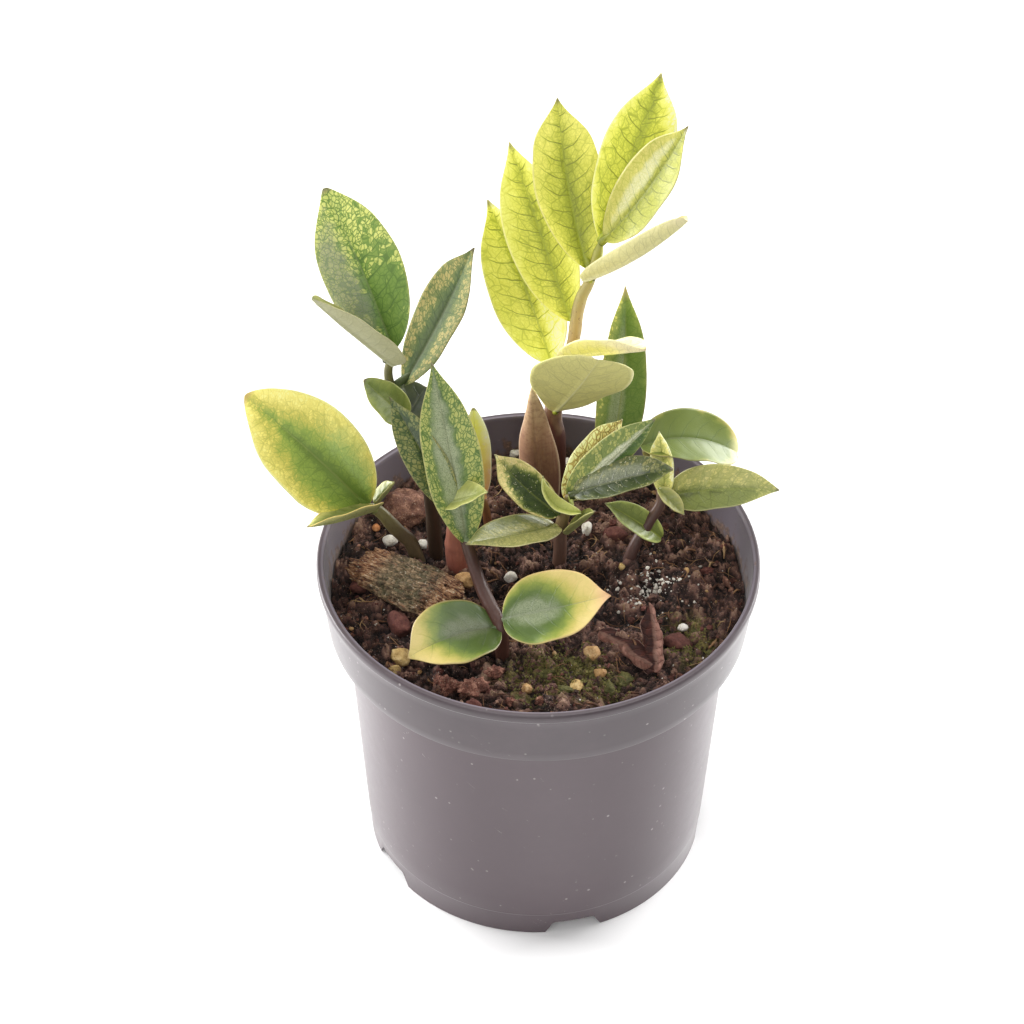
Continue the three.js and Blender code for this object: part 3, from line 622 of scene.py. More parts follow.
# The shoot in front of it, with a low pair of broad leaflets, d1 and d2
SHOOTS["c"] = dict(
    slot="leaf_green",
    stem=[
        (-9.5, -25, STEM_FOOT_Z, 1.9), (-9.7, -24.5, 90, 1.9), (-10, -23.5, 96.5, 1.9), (-12, -20, 98.5, 1.9),
        (-15, -14, 101.5, 1.8), (-18.5, -6, 107.5, 1.7), (-21, -1, 113.5, 1.5), (-23, 0, 118, 1.2),
    ],
    bark=[(0.0, (66, 42, 34)), (0.3, (76, 48, 39)), (0.7, (68, 43, 36)), (1.0, (78, 58, 40))],
    rough=0.42,
)
LEAVES["c"] = [
    ("d1", [-10.5, -23.5, 96.5], [-34.5, -36, 97], [0, 0, 2.4], 10.4, [0, -0.2, 1], 6, 10, [0.55, 0.64]),
    ("d2", [-9.5, -23.5, 99.5], [19, -24, 109], [0, 0, -0.4], 11, [0, -0.3, 1], 6, 10, [0.45, 0.64]),
    ("c1", [-19, -5, 109], [-28.5, 12, 158.5], [0.3, -1, 0], 8.2, [0.15, -0.8, 0.6], 11, 15, [0.75, 0.8]),
    ("c2", [-23, 0, 117.5], [-39.5, 8, 150], [0.9, -1, 0], 5.8, [-0.2, -0.8, 0.6], 12, 12, [0.6, 0.7]),
    ("c3", [-24.5, -1, 120.5], [-13.5, -8, 131], [0, 0, 0], [5.5, 3.5], [-0.1, -0.3, 0.9], 10, 10, [0.3, 0.9]),
]

# The shoot that reaches out over the rim at the left
SHOOTS["e"] = dict(
    slot="leaf_pale",
    stem=[
        (-31.6, 10.8, STEM_FOOT_Z, 2.1), (-34.5, 11.8, 93, 2), (-39, 11.5, 99.5, 1.9),
        (-43.5, 12, 105.5, 1.6), (-46.5, 12, 107, 1.2),
    ],
    # Painted light: these bark colours are lighter than the stem's own, to make up for the shade it stands in
    bark=[(0.0, (80, 66, 48)), (0.6, (84, 72, 50)), (1.0, (116, 110, 66))],
    rough=0.42,
)
LEAVES["e"] = [
    ("e1", [-46.5, 12, 107], [-77.5, 8, 150], [0, 0, 1.2], 13.4, [-0.1, -0.5, 0.8], 8, 15, [0.58, 0.66], 0.2),
    ("e2", [-43.5, 10, 108.5], [-61.5, -8, 118], [0, 0, -0.5], 6.5, [0, 0.5, 0.85], [25, 10], 12, [0.35, 0.8]),
    ("e3", [-44.5, 12, 108], [-39, 14, 114.5], [0, 0, 0], 3, [-0.4, 0.1, 0.8], 20, 15, [0.5, 0.6]),
]

# The low rosette in the middle
SHOOTS["f"] = dict(
    slot="leaf_green",
    stem=[
        (5.5, 10, STEM_FOOT_Z, 2), (6, 11, 94, 1.9), (6, 12, 99, 1.8),
        (8, 13, 108, 1.5), (8.6, 12.5, 111, 1.2),
    ],
    # Painted light: these bark colours are lighter than the stem's own, to make up for the shade it stands in
    bark=[(0.0, (96, 70, 60)), (0.6, (98, 74, 62)), (1.0, (128, 114, 72))],
    rough=0.42,
)
LEAVES["f"] = [
    ("f1", [5.5, 12, 104.5], [-12, 14, 124.5], [-1, 0, -0.5], 5.6, [0.1, -0.6, 0.8], 12, 15, [0.55, 0.6]),
    ("f2", [5, 12, 100.5], [-19.5, -12, 116], [0, -1.5, 0.8], 6.4, [0, -0.15, 1], 10, 10, [0.5, 0.8]),
    ("f3", [11.5, 8, 109], [1, 6, 124], [-2.4, 0, -3.4], 2.6, [0, -0.4, 1], 25, 30, [0.55, 0.7]),
    ("f4", [7.5, 15, 107], [22.5, 26, 127], [0, 0, 1], 6, [0.3, -0.5, 0.8], 12, 15, [0.6, 0.7]),
    ("f5", [8, 13, 109.5], [31, 18, 134], [0.2, 0, 0], [6, 3.6], [0.1, -0.5, 0.9], [14, -44], 15, [0.55, 0.7], 0.6),
    ("f6", [9.5, 12, 112], [36, 10, 123], [0, 0, 1], 6.2, [0, -0.3, 1], 14, 15, [0.5, 0.62], 0.5),
    ("f7", [7.5, 11, 98.5], [15, 5, 112.5], [0, 0, 0], 3.2, [0, -0.1, 1], 20, 20, [0.55, 0.7]),
]

# The spreading shoot at the right
SHOOTS["g"] = dict(
    slot="leaf_pale",
    stem=[
        (23.5, 10, STEM_FOOT_Z, 1.8), (26, 13, 90.5, 1.7), (29.5, 16, 96.5, 1.6),
        (33.5, 19, 103.5, 1.4), (32, 24, 110, 1.2), (28.5, 26, 116, 1),
    ],
    # Painted light: these bark colours are lighter than the stem's own, to make up for the shade it stands in
    bark=[(0.0, (84, 62, 56)), (0.5, (88, 64, 58)), (0.8, (104, 80, 60)), (1.0, (142, 134, 80))],
    rough=0.42,
)
LEAVES["g"] = [
    ("g4", [34, 16, 92], [18, 14, 107], [0, 0, 0.6], 4.2, [0, -0.5, 0.9], 14, 15, [0.5, 0.7]),
    ("g5", [32.5, 17, 110], [39.5, 10, 106.5], [0, 0, 0], 2.6, [0, -0.3, 1], 20, 20, [0.6, 0.7]),
    ("g2", [35.5, 20, 104.5], [65, 12, 114], [0, 0, 1.4], 7, [0, -0.5, 0.9], 14, 10, [0.5, 0.82], 0.5),
    ("g3", [34.5, 18, 106], [32.5, 26, 122.5], [0.3, 0, 0], 3.6, [-0.3, -0.6, 0.7], 15, 15, [0.6, 0.7]),
    ("g1", [27.5, 26, 117], [55, 34, 107.5], [0, 0, 4.2], 8.6, [0, -0.4, 1], 10, 15, [0.5, 0.46], 0),
]

# Two single upright leaflets behind
SHOOTS["h"] = dict(
    slot="leaf_green",
    stem=[(18.5, 42.5, STEM_FOOT_Z, 1.9), (19, 43, 88, 1.8), (20, 44, 94.5, 1.5)],
    bark=[(0.0, (80, 56, 44)), (1.0, (110, 100, 62))],
    rough=0.42,
)
LEAVES["h"] = [
    ("h1", [20, 44, 93], [23.5, 62, 144.5], [1.6, 0, 0], 7.1, [0.1, -0.75, 0.6], [8, 12], 10, [0.55, 0.85]),
]
SHOOTS["i"] = dict(
    slot="leaf_pale",
    stem=[(-13.5, 27, STEM_FOOT_Z, 1.3), (-14, 27, 88.5, 1.2), (-15, 26.5, 97, 1)],
    bark=[(0.0, (110, 58, 44)), (1.0, (128, 92, 56))],
    rough=0.42,
)
LEAVES["i"] = [
    ("i1", [-15.5, 26, 97], [-18, 36, 122], [-0.3, 0, 0], 4.3, [0.1, -0.75, 0.6], 14, 24, [0.6, 0.5], 0.4),
]


def even_stops(*colours):
    """Colours at equal steps from 0 to 1."""
    return [(k / (len(colours) - 1), colour) for k, colour in enumerate(colours)]


# Leaf colours, from green to yellow
LIME = even_stops((116, 124, 38), (152, 158, 51), (193, 193, 78), (227, 219, 112), (250, 238, 176))
MOSAIC = even_stops((52, 78, 32), (86, 110, 50), (124, 138, 72), (184, 182, 100), (226, 214, 138))
DEEP = even_stops((44, 58, 24), (70, 84, 38), (104, 114, 58), (160, 158, 90), (208, 192, 130))
OLIVE = even_stops((74, 82, 40), (108, 116, 60), (142, 144, 82), (178, 172, 104), (216, 206, 148))
MEADOW = even_stops((64, 88, 38), (92, 116, 52), (136, 146, 72), (208, 190, 110), (238, 212, 144))
SUNLIT = even_stops((80, 98, 42), (108, 126, 54), (156, 150, 70), (206, 178, 98), (242, 200, 126))
BRIGHT = even_stops((70, 92, 36), (98, 122, 50), (148, 162, 66), (210, 198, 102), (244, 218, 138))
CREAM = [(0.0, (92, 80, 40)), (0.5, (160, 142, 82)), (0.75, (214, 194, 132)), (1.0, (240, 222, 168))]

# How each leaflet is coloured
YOUNG = dict(
    stops=LIME, cells=(0.2, 0.3), jump=0.06, vein=0.5, net=0.2, glow=0.2, midrib=(140, 150, 52),
    rim=(214, 206, 142), rim_share=0.6, tip_colour=(118, 104, 84), tip_from=0.935, under=(150, 148, 76),
)
PALE = dict(stops=OLIVE, under=(176, 176, 120), under_share=0.45)
MOTTLED = dict(cell_mm=1.15, net=0.2, vein=0.22, stops=MOSAIC, rim=(190, 182, 118))
BROAD = dict(stops=BRIGHT, drift=0.16, vein=0.1, net=0.05, glow=0.06)
LOOKS = {
    "a1": dict(YOUNG, tone=(0.4, 0.5), under=(226, 220, 148), under_share=0.9),
    "a2": dict(YOUNG, stops=CREAM, tone=(0.74, 1.0), under=(250, 238, 190), light=1.4),
    "a3": dict(YOUNG, core=(0.55, 0.6, -0.5, 1.1), tone=(0.56, 1.0), fade=(0.5, 1.2), light=1.54),
    "a4": dict(YOUNG, core=(0.25, 0.8, -0.1, 1.0), tone=(0.46, 0.76), light=1.52),
    "a5": dict(YOUNG, core=(0.25, 0.6, 0.0, 0.9), tone=(0.34, 0.68), fade=(0.3, 1.2), light=1.34),
    "a6": dict(YOUNG, tone=(0.5, 0.9), under=(206, 200, 150), tip_colour=(248, 228, 204), tip_from=0.84),
    "a7": dict(YOUNG, core=(0.45, 0.8, -0.1, 1.0), tone=(0.4, 0.95), fade=(0.5, 1.2), light=1.7),
    "a8": dict(
        YOUNG, core=(0.5, 0.8, 0.5, 0.8), tone=(0.4, 0.7), sheen_and_patch=0.6, sheen_and_patch_core=(0.5, 0.42, -0.4, 0.25),
        sheen_and_patch_colour=(240, 240, 206), light=0.72,
    ),
    "b1": dict(
        stops=MEADOW, core=(0.1, 0.62, 0.35, 1.1), tone=(0.26, 0.36), cells=(0.08, 1.1),
        cells_fade=(0.4, 1.15), cell_mm=1.15, jump=0.3, vein=0.26, net=0.2, sheen_and_patch=0.85,
        sheen_and_patch_core=(0.42, 0.5, -0.62, 0.6), sheen_and_patch_colour=(106, 110, 96), midrib=(96, 106, 66),
        rim=(140, 142, 88), light=2.0,
    ),
    "b2": dict(
        stops=OLIVE, tone=(0.4, 0.6), under=(172, 170, 136), under_share=0.8, tip_colour=(110, 112, 70)
    ),
    "b3": dict(
        stops=MEADOW, core=(0.3, 0.62, -0.05, 0.5), tone=(0.24, 0.5), cells=(0.0, 0.9),
        cells_fade=(0.5, 1.2), cell_mm=1.0, jump=0.22, vein=0.26, net=0.2, glow=0.12, sheen_and_patch=0.12,
        sheen_and_patch_core=(0.35, 0.4, 0.0, 0.4), sheen_and_patch_colour=(134, 130, 84), midrib=(96, 100, 58),
        rim=(170, 168, 108), light=0.52, rough=0.75,
    ),
    "b4": dict(
        PALE, stops=DEEP, tone=(0.42, 0.56), vein=0.08, net=0.05, sheen_and_patch=0.3,
        sheen_and_patch_colour=(150, 156, 112), rim_share=0.3, light=1.75,
    ),
    "b5": dict(PALE, stops=DEEP, tone=(0.26, 0.36), vein=0.08, net=0.05, rim_share=0.2, light=0.5),
    "c1": dict(
        MOTTLED, core=(0.45, 0.7, -0.12, 0.52), tone=(0.22, 0.34), cells=(0.0, 1.1),
        cells_fade=(0.75, 1.15), jump=0.3, sheen_and_patch=0.85, sheen_and_patch_core=(0.5, 0.6, -0.15, 0.5),
        sheen_and_patch_colour=(160, 166, 134), midrib=(96, 102, 64), light=1.2,
    ),
    "c2": dict(
        MOTTLED, core=(0.3, 0.7, 0.2, 0.55), tone=(0.16, 0.34), cells=(0.1, 1.1), cells_fade=(0.4, 1.0),
        jump=0.36, sheen_and_patch=0.2, sheen_and_patch_core=(0.4, 0.4, 0.2, 0.4), midrib=(100, 96, 54), light=0.6,
    ),
    "c3": dict(
        PALE, tone=(0.45, 0.56), vein=0.06, net=0.06, sheen_and_patch=0.5,
        sheen_and_patch_colour=(176, 178, 134), tip_colour=(108, 104, 66), light=1.7,
    ),
    "d1": dict(
        BROAD, core=(0.15, 0.56, 0.1, 1.3), tone=(0.1, 0.95), fade=(0.55, 1.35), sheen_and_patch=0.7,
        sheen_and_patch_core=(0.34, 0.3, 0.1, 0.45), sheen_and_patch_colour=(138, 142, 116), midrib=(98, 104, 72),
        rim=(226, 194, 136), tip_colour=(206, 176, 122), light=0.62,
    ),
    "d2": dict(
        BROAD, core=(0.18, 0.5, 0.12, 1.02), tone=(0.14, 0.98), fade=(0.5, 1.35), sheen_and_patch=0.75,
        sheen_and_patch_core=(0.28, 0.3, 0.0, 0.5), sheen_and_patch_colour=(172, 180, 148), midrib=(140, 148, 118),
        rim=(240, 200, 146), tip_colour=(222, 172, 138), tip_from=0.8, light=0.74,
    ),
    "e1": dict(
        stops=SUNLIT, core=(0.08, 0.92, -0.05, 1.05), tone=(0.16, 0.8), fade=(0.26, 1.22), drift=0.2,
        cells=(0.1, 0.5), jump=0.1, vein=0.12, net=0.14, glow=0.2, sheen_and_patch=0.3,
        sheen_and_patch_core=(0.28, 0.3, 0.6, 0.4), sheen_and_patch_colour=(160, 180, 120), midrib=(104, 112, 60),
        midrib_share=0.4, rim=(236, 212, 140), tip_colour=(206, 176, 112), light=1.98,
    ),
    "e2": dict(
        PALE, tone=(0.3, 0.75), fade=(0.5, 1.0), rim=(226, 196, 118), rim_share=0.9,
        light=1.3,
    ),
    "e3": dict(PALE, tone=(0.4, 0.6), net=0.06),
    "f1": dict(
        stops=DEEP, core=(0.25, 0.6, 0.0, 1.0), tone=(0.16, 1.0), fade=(0.65, 1.05), cells=(0.05, 0.3),
        specks=0.8, net=0.2, rim=(188, 174, 112), light=1.25,
    ),
    "f2": dict(
        PALE, core=(0.5, 0.8, 0.9, 0.6), tone=(0.36, 0.62), cells=(0.2, 0.5),
        jump=0.18, cell_mm=0.6, net=0.2, specks=0.4, rim=(212, 200, 140), light=0.88,
    ),
    "f3": dict(
        stops=OLIVE, tone=(0.5, 0.6), vein=0.08, net=0.06, under=(118, 128, 70), under_share=0.8, light=2.2
    ),
    "f4": dict(
        stops=CREAM, tone=(0.66, 0.84), vein=0.6, net=0.55, cell_mm=1.5, midrib=(150, 110, 60), light=1.85
    ),
    "f5": dict(
        stops=MOSAIC, core=(0.4, 0.8, 0.4, 0.7), tone=(0.26, 0.5), cells=(0.1, 0.6), jump=0.2, net=0.1,
        sheen_and_patch=0.85, sheen_and_patch_core=(0.42, 0.6, -0.05, 0.26), sheen_and_patch_colour=(228, 228, 200), specks=0.4,
        rim=(206, 200, 140), light=1.05,
    ),
    "f6": dict(
        stops=DEEP, core=(0.4, 0.7, 0.3, 0.8), tone=(0.16, 0.5), cells=(0.0, 0.5), jump=0.3, sheen_and_patch=0.6,
        sheen_and_patch_core=(0.42, 0.46, -0.3, 0.4), sheen_and_patch_colour=(196, 200, 172), specks=0.8,
        rim=(196, 190, 130), light=0.6,
    ),
    "f7": dict(PALE, tone=(0.25, 0.5), vein=0.1, light=1.6),
    "g1": dict(
        stops=BRIGHT, core=(0.4, 0.7, 0.0, 1.0), tone=(0.38, 0.86), fade=(0.85, 1.25), vein=0.06, net=0.0,
        glow=0.06, midrib=(118, 128, 70), midrib_share=0.3, rim=(190, 188, 134), light=0.62, rough=0.46,
        tip_colour=(214, 210, 152), tip_from=0.87,
    ),
    "g2": dict(
        PALE, core=(0.3, 0.8, 0.6, 0.9), tone=(0.22, 0.6), cells=(0.05, 0.4),
        jump=0.16, cell_mm=0.7, vein=0.08, net=0.14, rim=(186, 182, 128), light=1.25,
    ),
    "g3": dict(PALE, tone=(0.6, 0.85), cells=(0.2, 0.5), jump=0.2, light=2.1),
    "g4": dict(
        PALE, core=(0.5, 0.8, 0.0, 0.9), tone=(0.1, 0.3), fade=(0.8, 1.1), vein=0.08,
        net=0.08, light=2.7, rim_share=0.2,
    ),
    "g5": dict(PALE, tone=(0.5, 0.7), vein=0.1, net=0.06),
    "h1": dict(
        stops=MOSAIC, core=(0.35, 0.7, 0.2, 0.9), tone=(0.3, 0.55), fade=(0.6, 1.2), cells=(0.0, 0.35),
        cells_fade=(0.8, 1.3), jump=0.2, vein=0.08, net=0.1, sheen_and_patch=0.62,
        sheen_and_patch_core=(0.35, 0.5, -0.15, 0.4), sheen_and_patch_colour=(152, 157, 126), rim=(150, 138, 92),
        tip_colour=(206, 178, 130), tip_from=0.9, light=1.5,
    ),
    "i1": dict(
        stops=LIME, tone=(0.5, 0.8), cells=(0.1, 0.2), jump=0.12, vein=0.08, net=0.08,
        foot=(118, 78, 48), foot_to=0.95, tip_colour=(124, 112, 70), light=3.1,
    ),
}
STEM_END_TAPER = [0.92, 0.75, 0.4]

number = 0
for letter, shoot in SHOOTS.items():
    name = "shoot_" + letter
    shape = Shape()
    materials = [stem_material(name + "_stem", shoot["bark"], shoot["rough"])]
    path, radii = stem_line(shoot["stem"], TUBE_STEPS_PER_POINT * (len(shoot["stem"]) - 1))
    radii[-3:] *= STEM_END_TAPER
    add_tube(shape, path, radii, ridges=0.07, seed=number)
    for look, *form in LEAVES[letter]:
        number += 1
        blade = leaf(*form)
        materials.append(leaf_material("leaf_" + look, **LOOKS[look]))
        add_stalk(shape, path, blade, len(materials) - 1)
        add_blade(shape, blade, len(materials) - 1, number)
    shape.piece(name, materials, ("frond_" + letter,), shoot["slot"])


# The papery sheath, the sprout and the dead leaf
def papery_material():
    g = Graph("papery_sheath")
    s, t, _ = g.mark("blade")
    across, along, _ = g.mark("spot")
    flat = g.join(across, along, 0.0)
    lines = g.noise(g.join(across, along * 0.05, 0.0), 2.2, 4.0)
    blotches = g.noise(flat, 0.2, 4.0)
    tans = [
        (0.0, (84, 53, 42)), (0.3, (116, 82, 64)), (0.6, (154, 117, 90)), (0.85, (186, 156, 118)),
        (1.0, (216, 194, 150)),
    ]
    colour = g.ramp(t + (blotches - 0.5) * 0.4, tans)
    colour = g.mix(g.smooth(0.5, 0.7, lines) * 0.2, colour, (0.66, 0.5, 0.42, 1), "MULTIPLY")
    colour = g.mix(g.smooth(0.4, 0.25, lines) * 0.25, colour, (206, 178, 140))
    colour = g.mix(g.smooth(0.46, 0.62, g.noise(flat, 0.9, 4.0, 0.6)) * 0.35, colour, (112, 76, 60))
    colour = g.mix(g.smooth(0.85, 1.0, abs(s)) * 0.6, colour, (206, 182, 150))
    relief = lines * 0.6 + blotches * 0.5
    return g.surface(colour, lines * 0.2 + 0.5, 0.35, g.bump(relief, 0.2))


def dead_material():
    """Dark inside and lighter and redder outside: painted shade on the inner half, which slopes away from the
    light, and painted light on the outer half, which faces it. A pale painted highlight runs along the ridge
    between them, and the edges are pale.
    """
    g = Graph("dead_leaf_brown")
    s, _, beneath = g.mark("blade")
    across, along, phase = g.mark("spot")
    blotches = g.noise(g.join(across, along, 0.0), 0.4, 5.0, 0.6)
    dark = g.ramp(blotches, [(0.2, (22, 12, 11)), (0.5, (50, 25, 21)), (0.8, (88, 46, 38))])
    light = g.ramp(blotches, [(0.2, (84, 52, 44)), (0.5, (124, 86, 74)), (0.8, (172, 132, 116))])
    # Painted shade on the inner half and painted light on the outer half of the folded leaf
    colour = g.mix(g.smooth(0.05, 0.3, s + (blotches - 0.5) * 0.6), dark, light)
    veins = g.smooth(0.12, 0.02, g.math("PINGPONG", phase, 0.5))
    colour = g.mix(veins * 0.12, colour, (140, 98, 84))
    # A painted highlight along the ridge of the fold
    colour = g.mix(g.smooth(0.22, 0.05, abs(s - 0.05)) * 0.35, colour, (168, 128, 112))
    colour = g.mix(g.smooth(0.9, 0.98, abs(s)) * 0.6, colour, (186, 154, 142))
    colour = g.mix(beneath * 0.7, colour, (72, 44, 39))
    relief = blotches * 0.8 + veins * 0.4
    return g.surface(colour, blotches * 0.3 + 0.62, 0.2, g.bump(relief, 0.5))


SHEATH_A = leaf(
    [0.8, 32.5, 84], [-1.8, 39.4, 127], [0, -0.6, 0], [7.5, 6.8], [-0.1, -1, 0.2], 0, [-70, -48], [0.45, 1], 0
)
BLUNT = [0.3, 0.5]
DEAD_LEAF = [
    ([16.5, -18.5, 90.5], [32, -32.4, 89], [0, 0, 0.6], [4.6, 2.8], [0.1, -0.2, 1], [-8, -48], -14, BLUNT, 0.3),
    ([31, -33, 89.5], [29.5, -12, 95], [0.8, 0, 0], [5, 3], [-0.1, -0.2, 1], [-30, -40], -16, BLUNT),
]
SPROUT_C = [
    (-21.8, 9, STEM_FOOT_Z, 2.6), (-21.9, 9, 88, 3.1), (-22.2, 8.6, 94, 3.2),
    (-22.5, 8, 101, 2.6), (-22.7, 7.4, 107, 1.7), (-22.8, 7, 112, 0.6),
]
SPROUT_STEPS = 60
SPROUT_SCALES = 2.5
SPROUT_STOPS = [(0.0, (126, 70, 60)), (0.4, (148, 92, 78)), (0.7, (164, 106, 88)), (1.0, (180, 140, 104))]

shape = Shape()
add_blade(shape, SHEATH_A, slot=0, number=41, rows=70, columns=48, wave=0.25, veins=0.0)
shape.piece("sheath", [papery_material()], ("sheath_a",), "sheath")

shape = Shape()
for k, arm in enumerate(DEAD_LEAF):
    add_blade(shape, leaf(*arm), slot=0, number=42 + k, rows=60, columns=30, wave=0.45, veins=1.4)
    crumple = [layered_noise(shape.points[k], 0.3, 3, seed) for seed in (5, 6, 7)]
    shape.points[k] += 0.4 * np.stack(crumple, -1)
shape.piece("dried_leaf", [dead_material()], ("dead_leaf",), "dead_leaf")

shape = Shape()
path, radii = stem_line(SPROUT_C, SPROUT_STEPS)
scales = np.sin(np.linspace(0, 1, SPROUT_STEPS + 1) * 2 * np.pi * SPROUT_SCALES)
add_tube(shape, path, radii * (1 + 0.08 * np.maximum(0, scales) ** 6), ridges=0.05, seed=51, sides=32)
pink = stem_material("sprout_pink", SPROUT_STOPS, 0.4, (150, 104, 88), 0.35)
shape.piece("sprout", [pink], ("sprout_c",), "sprout")


# Soil
def soil_height(x, y):
    """The smooth form that the solid soil has too."""
    waves = 0.9 * np.sin(0.17 * x + 0.8) * np.cos(0.15 * y - 0.4)
    waves = waves + 0.7 * np.sin(0.31 * x - 0.23 * y + 2.1) + 0.5 * np.cos(0.12 * x + 0.42 * y)
    front = 1.6 * np.exp(-((x - 8) ** 2 + (y + 34) ** 2) / 220)
    right = 1.4 * np.exp(-((x - 32) ** 2 + (y - 4) ** 2) / 160)
    return SOIL_Z + waves + front + right


def crumbled(x, y):
    """The soil's own height with its crumbs and cracks."""
    flat = stack(x, y, 0)
    lumps = layered_noise(flat, 0.16, 2, 61)
    clumps = np.abs(layered_noise(flat, 0.3, 3, 71, 0.55))
    crumbs = np.abs(layered_noise(flat, 0.8, 3, 77, 0.6))
    return soil_height(x, y) + 0.9 * lumps + 2.1 * (clumps - 0.34) + 1.1 * (crumbs - 0.35)


def ground_at(x, y):
    return float(crumbled(np.array(x), np.array(y)))


def inner_radius(z):
    if z <= COLLAR_Z:
        share = (z - FOOT_LINE_Z) / (COLLAR_Z - FOOT_LINE_Z)
        return FOOT_LINE_RADIUS + (BODY_TOP_RADIUS - FOOT_LINE_RADIUS) * share - WALL
    up = (z - COLLAR_Z) / (POT_HEIGHT - COLLAR_Z)
    return COLLAR_RADIUS + (RIM_RADIUS - 0.6 - COLLAR_RADIUS) * up - WALL


def revolved(profile, sides):
    """Rings of points round the Z axis, one for each radius and height."""
    radius, z = np.array(profile, float).T[..., None]
    angle = np.linspace(0, 2 * np.pi, sides, endpoint=False)
    return stack(radius * np.cos(angle), radius * np.sin(angle), z)


# Mossy ellipses on the soil: middle and reach in x, then in y
MOSSY_FRONT = (5.0, 18.0, -34.0, 10.0)
MOSSY_RIGHT = (41.0, 9.0, -19.0, 12.0)


def soil_material():
    g = Graph("potting_soil")
    place = g.position()
    x, y, z = g.split(place)
    height = g.mark("spot")[0]
    patches = g.noise(place, 0.13, 4.0, 0.6)
    bits = g.noise(place, 0.9, 5.0, 0.7)
    browns = [
        (0.3, (24, 16, 15)), (0.42, (56, 40, 36)), (0.52, (94, 67, 60)), (0.62, (138, 103, 89)),
        (0.76, (190, 154, 130)),
    ]
    # Darker where the surface lies low: painted shade in the soil's hollows and cracks, over its own browns
    colour = g.ramp(g.smooth(-1.6, 2.4, height) * 0.42 + (patches * 0.24 + bits * 0.34), browns)
    red = g.smooth(0.54, 0.66, g.noise(place, 0.22, 2.0)) * g.smooth(0.42, 0.6, bits)
    colour = g.mix(red * 0.5, colour, (100, 58, 48))
    colour = g.mix(g.dots(place, 1.5, (0.32, 0.16), 0.4, (0.48, 0.6)) * 0.55, colour, (196, 170, 148))
    straw = g.smooth(0.63, 0.7, g.noise(g.join(x * 0.5, y, z), 2.2))
    colour = g.mix(straw * 0.5, colour, (150, 116, 88))
    wander = (g.noise(place, 0.3) - 0.5) * 10.0
    front = g.smooth(13.0, 5.0, g.ellipse(x, y, MOSSY_FRONT) * 10.0 + wander)
    right = g.smooth(12.0, 4.0, g.ellipse(x, y, MOSSY_RIGHT) * 10.0 + wander)
    mossy = g.math("MAXIMUM", front, right) * g.smooth(0.42, 0.56, g.noise(place, 0.45, 4.0))
    green = g.ramp(g.noise(place, 1.6), [(0.3, (72, 66, 30)), (0.5, (118, 110, 56)), (0.7, (164, 150, 88))])
    colour = g.mix(mossy * 0.85, colour, green)
    relief = bits + g.noise(place, 2.6, 4.0, 0.65) * 0.6
    return g.surface(colour, bits * 0.25 + 0.62, 0.35, g.bump(relief, 1.3))


SOIL_REACH = inner_radius(SOIL_Z) - CLEARANCE
rings = SOIL_REACH * np.sqrt(np.linspace(0, 1, SOIL_RINGS) ** 1.25)
rings[0] = AXIS_RADIUS
top = revolved([(r, 0) for r in rings], SOIL_SECTORS)
sx, sy = top[..., 0], top[..., 1]
top[..., 2] = crumbled(sx, sy)
INSIDE_FLOOR = FLOOR_RAISE + WALL + CLEARANCE
skirt = [
    (inner_radius(COLLAR_Z + 1.5) - CLEARANCE, COLLAR_Z + 1.9),
    (inner_radius(COLLAR_Z) - CLEARANCE, COLLAR_Z - 0.2),
    (inner_radius(FOOT_LINE_Z + 1) - CLEARANCE, FOOT_LINE_Z + 1.2),
    (FOOT_LINE_RADIUS - WALL - 2.6, INSIDE_FLOOR),
    (FLOOR_DISC_RADIUS + 1.8, INSIDE_FLOOR),
    (FLOOR_DISC_RADIUS - 1.4, WALL + CLEARANCE),
    (AXIS_RADIUS, WALL + CLEARANCE),
]
sheet = np.concatenate([top, revolved(skirt, SOIL_SECTORS)])
# The spot mark carries how far each point of the top lies above the smooth form; the soil's colour paints shade
# into the low places from it
relief = np.zeros_like(sheet)
relief[:SOIL_RINGS, :, 0] = top[..., 2] - soil_height(sx, sy)
shape = Shape()
shape.add(sheet, grid_faces(len(sheet), SOIL_SECTORS, wrap=True), spot=relief)
shape.piece("soil_bed", [soil_material()], ("soil",), "soil")


# Lumps: bark, clods, pebbles, perlite and crumbs
def same_random(seed):
    """The source that gives the solids' lumps their uneven form."""
    state = (seed * 2654435761) & 0xFFFFFFFF
    while True:
        state = (((state ^ (state >> 15)) * 2246822519) + 3266489917) & 0xFFFFFFFF
        yield state / 4294967296


def ball(detail):
    """Points and faces of a round mesh made from an icosahedron."""
    bm = bmesh.new()
    bmesh.ops.create_icosphere(bm, subdivisions=detail, radius=1)
    points = np.array([v.co for v in bm.verts])
    faces = [tuple(v.index for v in f.verts) for f in bm.faces]
    bm.free()
    return unit(points), faces


BALLS = {k: ball(k) for k in (2, 3, 4, 5, 6)}
FACETS = 14


def turn_about(points, tilt, turn):
    tilt, turn = math.radians(tilt), math.radians(turn)
    about_y = np.array([[math.cos(tilt), 0, math.sin(tilt)], [0, 1, 0], [-math.sin(tilt), 0, math.cos(tilt)]])
    about_z = np.array([[math.cos(turn), -math.sin(turn), 0], [math.sin(turn), math.cos(turn), 0], [0, 0, 1]])
    return points @ about_y.T @ about_z.T


